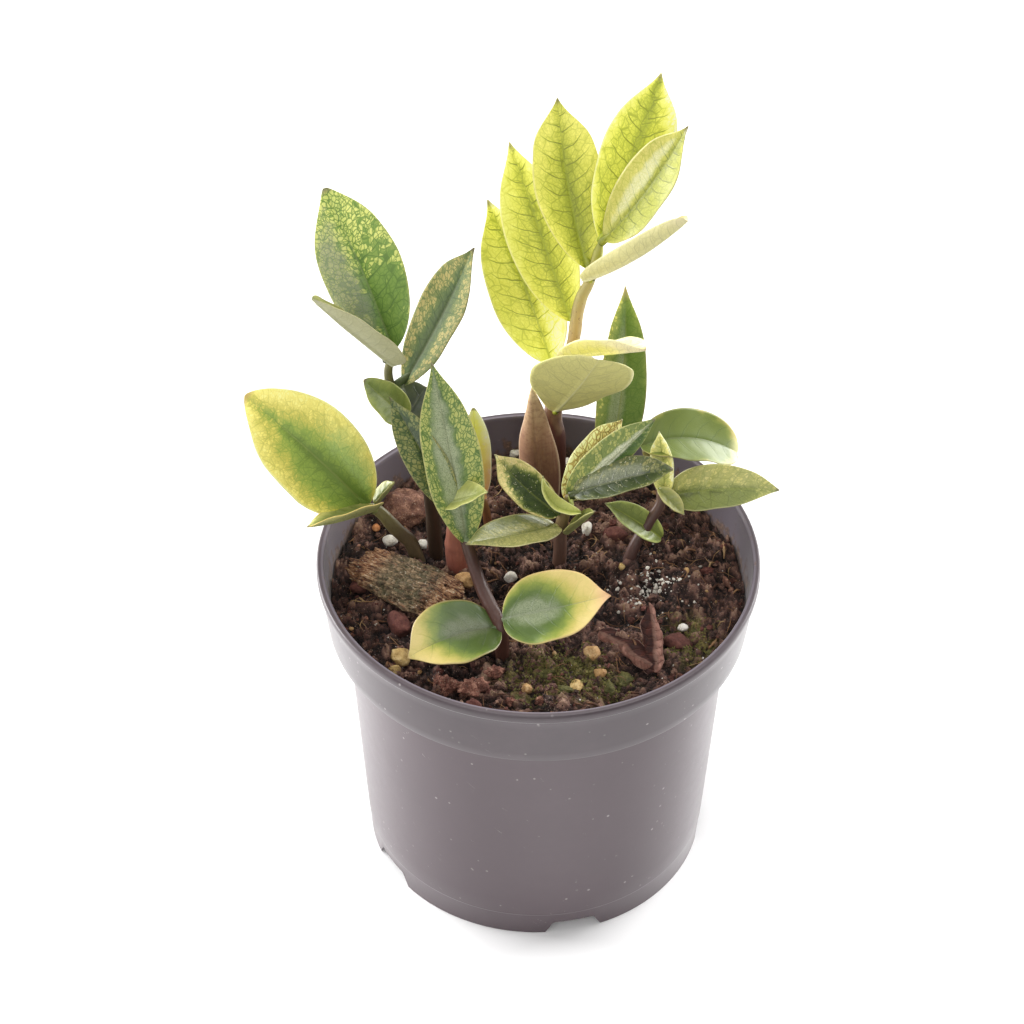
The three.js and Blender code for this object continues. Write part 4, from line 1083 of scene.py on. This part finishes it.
def lump(at, half, turn=0, seed=1, facets=0.0, grain=0.05, tilt=0, rough=0.12, fine=4, stretch=(1, 1, 1)):
    """An uneven stone. facets cuts flat sides, grain roughens it, and stretch draws the grain out."""
    points, faces = BALLS[fine]
    source = same_random(seed)
    phases = [next(source) * 6.28 for _ in range(3)]
    swell = sum(np.sin(f * points[:, k] + phases[k]) for k, f in enumerate((4.1, 5.3, 4.7)))
    grown = points * (1 + rough * swell / 2)[:, None]
    if facets:
        rng = np.random.default_rng(seed)
        for cut in unit(rng.normal(size=(FACETS, 3))):
            over = np.maximum(0, grown @ cut - rng.uniform(0.72, 0.9))
            grown -= facets * over[:, None] * cut
    grown = grown * (1 + grain * layered_noise(points * np.array(stretch), 3.1, 4, seed))[:, None]
    return turn_about(grown * np.array(half), tilt, turn) + np.array(at), faces


# Between these heights the dirt on a stone ends
DIRT_TOP, DIRT_LOW = 89.6, 87.6


def stone_material(name, stops, spots=(120, 84, 50), spot_share=0.5, rough=0.6, dirt=0.5, flecks=0.0):
    g = Graph(name)
    place = g.position()
    wide = g.noise(place, 0.5, 4.0)
    fine = g.noise(place, 2.4, 4.0, 0.6)
    pits = g.smooth(0.28, 0.12, g.cells(place, 1.3))
    colour = g.mix(pits * spot_share, g.ramp(wide * 0.6 + fine * 0.4, stops), spots)
    if flecks:
        pale = g.dots(place, 1.7, (0.32, 0.16), 0.45, (0.46, 0.58))
        colour = g.mix(pale * flecks, colour, (202, 176, 152))
    low = g.smooth(DIRT_TOP, DIRT_LOW, g.split(place)[2] + (wide - 0.5) * 2.0)
    colour = g.mix(low * dirt, colour, (70, 46, 36))
    relief = wide * 0.5 + fine * 0.6 - pits * 0.4
    return g.surface(colour, fine * 0.25 + (rough - 0.1), 0.35, g.bump(relief, 0.35))


# How the bark chunk is turned, and what brings its middle to 0 once it is turned back
BARK_TURN = -30
BARK_SHIFT = 30.5


def bark_material():
    """Coarse bark with green-grey scales in its middle and torn tan fibres at its ends."""
    g = Graph("mossy_bark")
    place = g.position()
    turn = {"Vector": place, "Angle": math.radians(-BARK_TURN)}
    x, y, z = g.split(g.node("VectorRotate", turn, rotation_type="Z_AXIS"))
    strands = g.noise(g.join(x * 0.22, y, z), 1.5, 5.0, 0.7)
    flecks = g.noise(g.join(x * 0.6, y, z), 1.3, 4.0, 0.7)
    wide = g.noise(place, 0.22, 4.0)
    browns = [(0.38, (34, 24, 18)), (0.46, (84, 66, 48)), (0.54, (138, 112, 84)), (0.64, (206, 176, 140))]
    colour = g.ramp(strands * 0.55 + flecks * 0.45, browns)
    moss = g.smooth(0.44, 0.56, wide) * g.smooth(0.62, 0.42, strands)
    colour = g.mix(moss * 0.7, colour, (92, 88, 58))
    rust = g.smooth(0.5, 0.4, wide) * g.smooth(0.45, 0.6, flecks)
    colour = g.mix(rust * 0.6, colour, (150, 94, 62))
    chance = g.split(g.cells(place, 0.8, "F1", "Color"))[0]
    scale_edge = g.cells(place, 0.8, "DISTANCE_TO_EDGE")
    scales = [(0.1, (60, 44, 34)), (0.4, (112, 106, 80)), (0.65, (150, 126, 96)), (0.9, (176, 150, 118))]
    colour = g.mix(g.smooth(0.04, 0.16, scale_edge) * 0.45, colour, g.ramp(chance, scales))
    torn = g.smooth(6.0, 11.0, abs(x + BARK_SHIFT) + (wide - 0.5) * 8.0)
    fibres = [(0.38, (60, 32, 22)), (0.47, (136, 84, 56)), (0.56, (200, 152, 110)), (0.66, (240, 216, 184))]
    colour = g.mix(torn * 0.85, colour, g.ramp(strands, fibres))
    colour = g.mix(g.dots(place, 1.1, (0.3, 0.14), 0.6, (0.5, 0.6)) * 0.8, colour, (216, 202, 180))
    relief = strands + (flecks * 0.6 + g.smooth(0.0, 0.3, scale_edge) * 0.3)
    return g.surface(colour, strands * 0.25 + 0.6, 0.35, g.bump(relief, 1.3))


def three_stops(dark, middle, pale, first=0.3, last=0.7):
    return [(first, dark), (0.5, middle), (last, pale)]


TAN = three_stops((138, 98, 58), (184, 144, 94), (216, 186, 140))
YELLOWISH = three_stops((150, 116, 62), (192, 160, 100), (222, 198, 144))
ORANGE = three_stops((150, 88, 48), (196, 128, 78), (226, 170, 120))
WHITE = three_stops((186, 176, 160), (224, 218, 206), (250, 248, 242))
CLOD = three_stops((58, 36, 30), (112, 76, 62), (178, 136, 112))
REDDISH = three_stops((60, 32, 28), (98, 56, 49), (132, 86, 74))
CRUST = three_stops((62, 36, 30), (124, 80, 66), (190, 142, 120), 0.34, 0.66)
PEAT = three_stops((28, 18, 16), (62, 43, 38), (116, 83, 70), 0.34, 0.64)
LOAM = three_stops((50, 34, 30), (100, 71, 62), (178, 140, 119), 0.34, 0.64)

bark = bark_material()
tan = stone_material("tan_stone", TAN)
yellow = stone_material("yellow_stone", YELLOWISH)
orange = stone_material("orange_stone", ORANGE)
white = stone_material("white_grain", WHITE, (196, 184, 166), 0.4, 0.8, 0.3)
clod = stone_material("clod_earth", CLOD, (48, 30, 26), 0.5, 0.85, flecks=0.5)
red = stone_material("red_clod_earth", REDDISH, (52, 28, 26), 0.5, 0.8)
peat = stone_material("dark_peat", PEAT, (20, 13, 12), 0.5, 0.75, flecks=0.5)
loam = stone_material("brown_loam", LOAM, (24, 15, 13), 0.6, 0.8, flecks=0.6)
crust = stone_material("crumbly_crust", CRUST, (48, 28, 24), 0.6, 0.85, 0.3, flecks=0.6)

# Finer forms of the solid lumps: node, slot, material, place, half sizes, turn, seed, facets and grain
LUMPS = [
    ("bark_chunk", "bark", bark, [-35.6, -0.6, 89.5], [15.5, 8.4, 4.4], BARK_TURN, 3, 0, 0.13),
    ("bark_bit_left", "bark", crust, [-25, -37, 88], [3.2, 3.4, 2.4], 30, 8, 0.4, 0.3),
    ("bark_bit_right", "bark", crust, [-17, -38, 88], [4, 3, 2.2], 15, 9, 0.4, 0.3),
    ("clod", "clod", clod, [-37, 31, 89], [6, 7, 4], 20, 5, 0, 0.14),
    ("clod_red_left", "clod", red, [-37.6, -13.9, 88.2], [2.8, 4.6, 3], 20, 6, 0.7, 0.05),
    ("clod_red_right", "clod", red, [21, 21.5, 88], [4.2, 2.6, 2.4], -10, 7, 0.7, 0.05),
    ("pebble_tan", "pebble", tan, [-19.8, 2.2, 89], [2.8, 2.4, 2.3], 0, 10, 1, 0.08),
    ("pebble_yellow", "pebble", yellow, [-37, -26.5, 88], [2.6, 3.4, 2.2], 20, 11, 1, 0.08),
    ("pebble_front_a", "pebble", tan, [14.5, -25.5, 89], [2.4, 2.6, 2], 0, 12, 1, 0.08),
    ("pebble_front_b", "pebble", tan, [16.5, -33, 89], [1.8, 1.6, 1.4], 0, 13, 1, 0.08),
    ("pebble_front_c", "pebble", yellow, [10, -38, 89], [2.65, 1.7, 1.5], 66, 14, 1, 0.08),
    ("pebble_front_d", "pebble", tan, [-3, -38.5, 88.5], [1.6, 1.6, 1.4], 0, 15, 1, 0.08),
    ("perlite_left", "perlite", white, [-40.8, 18.4, 88.5], [2, 1.9, 1.8], 0, 16, 0.6, 0.05),
    ("perlite_mid", "perlite", white, [-7.5, 4, 88.5], [1.8, 1.7, 1.6], 0, 17, 0.6, 0.05),
    ("perlite_right", "perlite", white, [13.6, 23, 88.8], [1.6, 2, 2.4], 0, 18, 0.6, 0.05),
]
FINER = {
    "bark_chunk": dict(tilt=2, fine=6, stretch=(1.2, 2.4, 2.4)),
    "bark_bit_left": dict(fine=5),
    "bark_bit_right": dict(fine=5),
}

# Grains that are too small for solids of their own, in the same order of values
GRAINS = [
    ("orange_pebble", "pebble", orange, [-44.9, 23.4, 88.6], [1.2, 1.2, 1.1], 0, 31, 0.2, 0.03),
    ("yellow_pebble_b", "pebble", yellow, [-38, -31.4, 88], [1.9, 1.5, 1.4], 0, 32, 1, 0.08),
    ("yellow_pebble_c", "pebble", yellow, [23, 8.4, 88.4], [0.9, 1.3, 0.9], 0, 33, 0.4, 0.05),
    ("white_grain_left", "perlite", white, [-31.9, 16.9, 88.5], [1.5, 1.7, 1.5], 30, 34, 0.6, 0.06),
    ("white_grain_right", "perlite", white, [39, -15.1, 88.4], [1.5, 1.2, 1.2], 0, 35, 0.6, 0.1),
    ("red_clod_left", "clod", red, [-48.6, 1.2, 87.8], [3.4, 2.4, 1.8], 50, 36, 0.7, 0.12),
    ("red_clod_front", "clod", red, [-17, -44, 87.6], [2.6, 1.8, 1.6], -20, 37, 0.6, 0.14),
    ("dark_block", "clod", red, [37.6, -19.6, 87.4], [4.2, 3.2, 1.9], -12, 38, 0.9, 0.05),
    ("red_lump_front_a", "clod", crust, [1.3, -42.4, 87.8], [2.2, 1.5, 1.3], 20, 40, 0.5, 0.3),
    ("red_lump_front_b", "clod", crust, [-7.2, -42.6, 87.8], [1.7, 1.2, 1.1], -30, 41, 0.5, 0.3),
    ("red_lump_front_c", "clod", crust, [-11.5, -32, 88.2], [2.6, 1.9, 1.5], 10, 42, 0.4, 0.3),
    ("white_grain_back_a", "perlite", white, [-6.6, 54.6, 88.6], [1.6, 1.2, 1.3], 10, 43, 0.6, 0.1),
    ("white_grain_back_b", "pebble", tan, [6.2, 54.4, 88.4], [1.0, 0.9, 0.9], 0, 44, 0.6, 0.1),
    ("white_grain_back_c", "perlite", white, [8.2, 50.6, 88.6], [1.4, 1.9, 1.5], -10, 45, 0.6, 0.1),
    ("pale_shell", "clod", clod, [51.4, 3.3, 88], [0.8, 2.6, 1.1], 20, 39, 0.6, 0.15),
]


def lay_lump(name, slot, material, form, nodes=()):
    shape = Shape()
    shape.add(*form)
    shape.piece(name, [material], nodes, slot)


for node, slot, material, *form in LUMPS:
    lay_lump(node + "_fine", slot, material, lump(*form, **FINER.get(node, {})), (node,))
for name, slot, material, *form in GRAINS:
    lay_lump(name, slot, material, lump(*form))

# Small debris lies on the soil, clear of the stems: x, y and how far
STEM_CLEAR, SPROUT_CLEAR = 4.0, 4.2
AVOID = [(*shoot["stem"][0][:2], STEM_CLEAR) for shoot in SHOOTS.values()]
AVOID.append((*SPROUT_C[0][:2], SPROUT_CLEAR))


def scattered(count, seed, near=None, spread=6.0):
    """Places on the soil, all over it or gathered near a point."""
    draw = np.random.default_rng(seed)
    reach = SOIL_REACH - 1.0
    places = []
    while len(places) < count:
        if near is None:
            r, a = reach * math.sqrt(draw.uniform()), draw.uniform(0, 2 * math.pi)
            x, y = r * math.cos(a), r * math.sin(a)
        else:
            x, y = near[0] + draw.normal() * spread, near[1] + draw.normal() * spread
        if math.hypot(x, y) <= reach and all(math.hypot(x - a, y - b) >= c for a, b, c in AVOID):
            places.append((x, y))
    return places


def scatter_lumps(name, places, seed, sizes, materials, slot, fine=2, facets=0.5, sink=0.35, grain=0.1):
    """Lumps between two sizes, most of them small. sink is how deep they lie in the soil."""
    draw = np.random.default_rng(seed)
    shape = Shape()
    for k, (x, y) in enumerate(places):
        size = sizes[0] * (sizes[1] / sizes[0]) ** (draw.uniform() ** 1.8)
        half = size * np.array([draw.uniform(0.75, 1.3), draw.uniform(0.65, 1.1), draw.uniform(0.55, 1.0)])
        z = ground_at(x, y) + half[2] * (1 - 2 * sink)
        turn, tilt = draw.uniform(0, 360), draw.uniform(-35, 35)
        points, faces = lump([x, y, z], half, turn, seed + k, facets, grain, tilt, 0.2, fine)
        shape.add(points, faces, int(draw.integers(len(materials))))
    shape.piece(name, materials, (), slot, smooth_faces=False)


CRUMBS = [peat, loam, peat, red, loam, peat]
crumb_places = scattered(2200, 81)
scatter_lumps("soil_crumbs_small", crumb_places, 82, (0.25, 0.85), CRUMBS, "soil", grain=0.35, sink=0.45)
scatter_lumps("soil_crumbs_large", scattered(230, 83), 84, (0.8, 1.7), CRUMBS, "soil", 3, grain=0.4, sink=0.5)
perlite_places = scattered(150, 85, near=(29.7, 1.8), spread=4.6)
scatter_lumps("perlite_grains", perlite_places, 87, (0.2, 0.8), [white], "perlite", facets=0.7, sink=0.2)
scatter_lumps("perlite_dust", scattered(240, 86), 95, (0.12, 0.32), [white], "perlite", sink=0.1)
scatter_lumps("grit", scattered(170, 88), 89, (0.3, 1.0), [tan, crust, clod, crust], "pebble")


def mottled_material(name, stops, share, wide, fine):
    """For thin fibres and moss. wide and fine are the scale and detail of two noises, and share is how
    much of the colour the wide one decides."""
    g = Graph(name)
    place = g.position()
    wide = g.noise(place, *wide)
    fine = g.noise(place, *fine)
    colour = g.ramp(wide * share + fine * (1 - share), stops)
    return g.surface(colour, fine * 0.3 + 0.6, 0.3, g.bump(fine, 0.2))


def scatter_fibres(name, places, seed, lengths, thickness, material, slot):
    """Thin bent fibres that lie on the soil."""
    draw = np.random.default_rng(seed)
    shape = Shape()
    w = np.linspace(-0.5, 0.5, 9)
    for x, y in places:
        length = draw.uniform(*lengths)
        heading, bend = draw.uniform(0, 2 * math.pi), draw.normal() * 0.5
        radius = thickness * draw.uniform(0.6, 1.4)
        cos, sin = math.cos(heading), math.sin(heading)
        line = stack(x + length * (w * cos - bend * w * w * sin), y + length * (w * sin + bend * w * w * cos))
        out = np.hypot(line[:, 0], line[:, 1]).max()
        if out > SOIL_REACH - 0.5:
            line *= (SOIL_REACH - 0.8) / out
        ground = crumbled(line[:, 0], line[:, 1])
        arch = np.interp(w, [-0.5, 0, 0.5], [ground[0], ground.max(), ground[-1]])
        z = np.maximum(ground + radius * 0.6, arch)
        taper = 1 - 0.5 * np.abs(2 * w) ** 2
        add_tube(shape, np.column_stack([line, z]), radius * taper, seed=seed, sides=5)
    shape.piece(name, [material], (), slot)


STRAW = [(0.3, (52, 34, 28)), (0.45, (92, 62, 46)), (0.55, (138, 102, 72)), (0.7, (190, 160, 116))]
fibre = mottled_material("straw_fibre", STRAW, 0.8, (0.12, 2.0), (2.0, 3.0))
scatter_fibres("fine_fibres", scattered(420, 91), 92, (2, 7), 0.1, fibre, "soil")
scatter_fibres("wood_slivers", scattered(60, 93), 94, (2, 5), 0.3, fibre, "bark")

# Moss: low mounds, as x, y and half length, and tufts, as x, y, spread and count
MOSS = [(0.3, (72, 70, 32)), (0.48, (112, 110, 54)), (0.6, (150, 142, 78)), (0.75, (190, 176, 116))]
MOSS_MOUNDS = [
    (9, -27.4, 2.8), (2.1, -32.4, 2.4), (22.5, -33.3, 2.9), (18.6, -36.8, 2.4), (-5.6, -42.0, 2.2),
    (6.5, -40.4, 2.0), (43.6, -15, 2.6), (46.5, -22, 2.2), (13.4, -20.8, 1.8),
]
MOSS_TUFTS = [
    (3.4, -32.2, 4.5, 240), (14, -32, 4.0, 150), (-2, -37, 3.0, 90),
    (8, -27, 3.0, 110), (40, -20, 4.0, 160), (18, -40, 3.0, 90),
]
TUFT_FACES = [(0, 1, 2, 3), (3, 2, 4), (1, 0, 5), (0, 3, 5), (2, 1, 5), (3, 4, 5), (4, 2, 5)]
LEAVES_PER_TUFT = 6


def moss_material(name, light):
    stops = [(at, lit_colour(c, light)) for at, c in MOSS]
    return mottled_material(name, stops, 0.6, (0.5, 3.0), (3.0, 2.0))


def scatter_moss(name, places, seed, material):
    """Tufts of small pointed leaves that stand on the soil."""
    draw = np.random.default_rng(seed)
    shape = Shape()
    upward = np.array([0, 0, 1])
    for x, y in places:
        ground = ground_at(x, y)
        for _ in range(LEAVES_PER_TUFT):
            a, lean = draw.uniform(0, 2 * math.pi), draw.uniform(0.3, 1.0)
            height, wide = draw.uniform(0.3, 0.75), draw.uniform(0.12, 0.2)
            out = np.array([math.cos(a), math.sin(a), 0])
            side = np.array([-math.sin(a), math.cos(a), 0]) * wide
            root = np.array([x, y, ground - 0.15]) + out * draw.uniform(0, 0.25)
            mid = root + upward * height * 0.6 + out * lean * height * 0.3
            end = root + upward * height + out * lean * height
            points = [root - side * 0.5, root + side * 0.5, mid + side, mid - side, end, mid - out * 0.1]
            shape.add(points, TUFT_FACES)
    shape.piece(name, [material], (), "soil")


moss = moss_material("moss_green", 0.85)
shape = Shape()
for k, (x, y, size) in enumerate(MOSS_MOUNDS):
    shape.add(*lump([x, y, ground_at(x, y) - 0.3], [size, 0.75 * size, 1.0], 37 * k, 60 + k, grain=0.25))
shape.piece("moss_mounds", [moss_material("moss_mound", 0.42)], (), "soil")
moss_places = []
for k, (x, y, spread, count) in enumerate(MOSS_TUFTS):
    moss_places += scattered(count, 100 + k, near=(x, y), spread=spread)
scatter_moss("moss_tufts", moss_places, 111, moss)


# Pot
def between(low, high, steps):
    """The points that cut a straight line from low to high into equal steps, without its ends."""
    return [tuple(a + (b - a) * k / steps for a, b in zip(low, high)) for k in range(1, steps)]


def pot_profile():
    """(radius, height) up the outside, over the rim and down the inside, with its small roundings."""
    disc, skirt, foot = FLOOR_DISC_RADIUS, FOOT_RADIUS - WALL, FOOT_RADIUS
    line, line_z, body = FOOT_LINE_RADIUS, FOOT_LINE_Z, BODY_TOP_RADIUS
    collar, collar_z, rim, top = COLLAR_RADIUS, COLLAR_Z, RIM_RADIUS, POT_HEIGHT
    step = collar - 0.4 - body
    underside = [
        (0.02, 0), (disc - 0.5, 0), (disc, 0.1), (disc + 0.4, 0.5), (disc + 2.7, FLOOR_RAISE - 0.4),
        (disc + 3.2, FLOOR_RAISE), (skirt - 1.7, FLOOR_RAISE), (skirt - 1.4, FLOOR_RAISE - 0.3),
        (skirt - 0.1, 0.25), (skirt + 0.15, 0), (foot - 0.2, 0), (foot, 0.2), (line - 0.28, line_z - 0.5),
        (line - 0.2, line_z - 0.25), (line - 0.05, line_z - 0.05), (line, line_z + 0.2),
    ]
    collar_step = [
        (body, collar_z - 1.1), (body + 0.08, collar_z - 0.75), (body + 0.35, collar_z - 0.5),
        (body + 0.45 * step, collar_z - 0.3), (collar - 0.6, collar_z - 0.05),
        (collar - 0.2, collar_z + 0.1), (collar, collar_z + 0.5),
    ]
    over_rim = [
        (rim - 0.72, top - 3.2), (rim - 0.6, top - 2.9), (rim - 0.2, top - 2.6), (rim, top - 2.2),
        (rim, top - 0.9), (rim - 0.12, top - 0.45), (rim - 0.4, top - 0.12), (rim - 0.8, top),
        (rim - 1.4, top), (rim - 1.85, top - 0.12), (rim - 2.1, top - 0.5),
    ]
    inside = [(inner_radius(z), z) for z in (top - 1.5, top - 3, 93, 89, 86, collar_z + 1.5)]
    inside += [(inner_radius(collar_z), collar_z - 0.5), (inner_radius(line_z + 1), line_z + 1)]
    floor = FLOOR_RAISE + WALL
    inside += [(line - WALL - 2.2, floor), (disc + 2, floor), (disc - 1, WALL), (0.02, WALL)]
    wall = between(underside[-1], collar_step[0], 12)
    band = between(collar_step[-1], (rim - 0.7, top - 3.3), 6)
    return underside + wall + collar_step + band + over_rim + inside


def pot_material():
    """Grey moulded plastic with faint clouds, scratches and dust, painted lighter below the collar and inside as
    painted light, and muddy inside.
    """
    g = Graph("moulded_grey_plastic")
    place = g.position()
    x, y, z = g.split(place)
    radius = g.math("SQRT", x * x + y * y)
    cloud = g.noise(place, 0.3, 4.0)
    grain = g.noise(place, 5.0, 2.0)
    greys = three_stops((64, 53, 58), (69, 58, 63), (76, 64, 69))
    colour = g.ramp(g.noise(place, 0.05) * 0.5 + cloud * 0.5, greys)
    # The body below the collar is painted lighter: painted light from the bright floor
    painted_body_light = g.smooth(81.0, 79.0, z)
    colour = g.mix(painted_body_light * 0.5, colour, (90, 75, 81))
    turn = {"Vector": g.swayed(place, 0.06), "Axis": (0.2, 1.0, 0.3), "Angle": 0.9}
    tx, ty, tz = g.split(g.node("VectorRotate", turn, rotation_type="AXIS_ANGLE"))
    scratch = g.smooth(0.72, 0.76, g.noise(g.join(tx * 2.2, ty, tz * 0.06), 1.0, 2.0))
    scratch = scratch * g.smooth(0.5, 0.65, g.noise(place, 0.08, 2.0))
    dust = g.dots(place, 0.32, (0.16, 0.08), 0.11, (0.5, 0.62))
    colour = g.mix(g.math("MAXIMUM", scratch, dust) * 0.4, colour, (196, 188, 186))
    inside = g.smooth(59.0, 58.4, radius - (z - 100.0) * 0.1) * g.smooth(80.0, 82.0, z)
    blots = g.noise(g.join(x, y, z * 0.6), 0.3, 4.0) * 0.8
    grime = inside * g.smooth(0.48, 0.62, blots + g.smooth(97.0, 86.0, z) * 0.2)
    # Lighter inside: painted light on the inner wall, where the pot shades itself
    colour = g.mix(inside * 0.85, colour, (112, 104, 114))
    mud = g.ramp(g.noise(place, 1.2), [(0.4, (84, 58, 42)), (0.6, (120, 90, 68)), (0.7, (164, 134, 108))])
    colour = g.mix(grime * 0.75, colour, mud)
    bump = g.bump(grain * 0.12 + (cloud * 0.2 + scratch * -0.5), 0.08, 0.6)
    roughness = cloud * 0.12 + (grime * 0.3 + 0.32)
    return g.surface(colour, roughness, 0.6, bump, Sheen_Weight=0.3, Sheen_Roughness=0.35)


def notch_cutter(turn_deg):
    """A block with rounded upper corners that opens the foot's skirt."""
    half, top_half, high = NOTCH_WIDTH / 2, NOTCH_TOP_WIDTH / 2, NOTCH_HEIGHT
    side = [
        (half - 0.2, 0.4), (top_half + 0.7, high - 0.9),
        (top_half + 0.25, high - 0.25), (top_half - 0.5, high),
    ]
    outline = [(-half - 1, -1), (half + 1, -1)] + side + [(-x, z) for x, z in side[::-1]]
    n = len(outline)
    points = [(x, y, z) for y in (-FOOT_RADIUS - 4, -FOOT_RADIUS + 4) for x, z in outline]
    faces = [tuple(range(n)), tuple(range(2 * n - 1, n - 1, -1))]
    faces += [((k + 1) % n, k, k + n, (k + 1) % n + n) for k in range(n)]
    mesh = bpy.data.meshes.new("notch")
    mesh.from_pydata((turn_about(np.array(points), 0, turn_deg) * MM).tolist(), [], faces)
    cutter = bpy.data.objects.new("notch", mesh)
    bpy.context.scene.collection.objects.link(cutter)
    return cutter


wall = revolved(pot_profile(), POT_SIDES)
faces = grid_faces(len(wall), POT_SIDES, wrap=True)
faces.append(tuple(reversed(range(POT_SIDES))))
faces.append(tuple((len(wall) - 1) * POT_SIDES + j for j in range(POT_SIDES)))
shape = Shape()
shape.add(wall, faces)
pot = shape.piece("pot_shell", [pot_material()], ("pot",), "pot")
for k in range(FOOT_NOTCHES):
    cutter = notch_cutter(FIRST_NOTCH_DEG + k * 360 / FOOT_NOTCHES)
    cut = pot.modifiers.new("notch", "BOOLEAN")
    cut.operation, cut.object, cut.solver = "DIFFERENCE", cutter, "EXACT"
    bpy.context.view_layer.update()
    graph = bpy.context.evaluated_depsgraph_get()
    carved = bpy.data.meshes.new_from_object(pot.evaluated_get(graph))
    pot.modifiers.clear()
    pot.data = carved
    bpy.data.objects.remove(cutter)
pot.data.name = "pot_shell"
pot.data.set_sharp_from_angle(angle=math.radians(SHARP_DEG))

# Studio
FLOOR_HALF = 6.0
g = Graph("studio_floor")
pale = g.ramp(g.noise(g.position(), 0.01, 2.0), [(0.3, (246, 246, 246)), (0.7, (252, 252, 252))])
corners = [(x * FLOOR_HALF, y * FLOOR_HALF, 0.0) for x, y in ((-1, -1), (1, -1), (1, 1), (-1, 1))]
floor_mesh = bpy.data.meshes.new("floor")
floor_mesh.from_pydata(corners, [], [(0, 1, 2, 3)])
floor_mesh.materials.append(g.surface(pale, 0.9, 0.1))
floor = bpy.data.objects.new("floor", floor_mesh)
bpy.context.scene.collection.objects.link(floor)

world = bpy.data.worlds.new("studio")
world.use_nodes = True
sky = world.node_tree.nodes["Background"].inputs
sky[0].default_value = (1.0, 0.99, 0.98, 1)
sky[1].default_value = 0.4
bpy.context.scene.world = world


def softbox(name, place, size, power):
    light = bpy.data.lights.new(name, "AREA")
    light.shape, light.size, light.size_y, light.energy = "RECTANGLE", *size, power
    lamp = bpy.data.objects.new(name, light)
    lamp.location = place
    lamp.rotation_euler = (Vector((0, 0, 0.1)) - Vector(place)).to_track_quat("-Z", "Y").to_euler()
    bpy.context.scene.collection.objects.link(lamp)


softbox("soft_left", (-1.05, 0.5, 0.42), (0.9, 1.0), 34)
softbox("soft_right", (1.0, 0.75, 0.38), (0.8, 1.0), 32)
softbox("soft_top", (0.1, 0.2, 1.5), (1.2, 1.2), 9)
softbox("soft_front", (-0.35, -1.3, 1.0), (1.4, 1.0), 9)

# The camera, at the height and turn that the pot's ellipses give
ELEVATION = math.radians(42.66)
ROLL = math.radians(0.34)
DISTANCE = 0.907
AIM = Vector((-0.0072, 0, 0.1164))
FOCAL_PX, FRAME_PX, SENSOR_MM = 3400, 1024, 36
back = Vector((0, -math.cos(ELEVATION), math.sin(ELEVATION)))
level = Vector((1, 0, 0))
upright = back.cross(level)
right = math.cos(ROLL) * level + math.sin(ROLL) * upright
up = -math.sin(ROLL) * level + math.cos(ROLL) * upright
camera_data = bpy.data.cameras.new("camera")
camera_data.sensor_width = SENSOR_MM
camera_data.lens = SENSOR_MM * FOCAL_PX / FRAME_PX
camera_data.clip_start, camera_data.clip_end = 0.01, 50
camera = bpy.data.objects.new("camera", camera_data)
turn = Matrix((right, up, back)).transposed().to_4x4()
camera.matrix_world = Matrix.Translation(AIM + back * DISTANCE) @ turn
bpy.context.scene.collection.objects.link(camera)
bpy.context.scene.camera = camera
bpy.context.scene.view_settings.view_transform = "Standard"
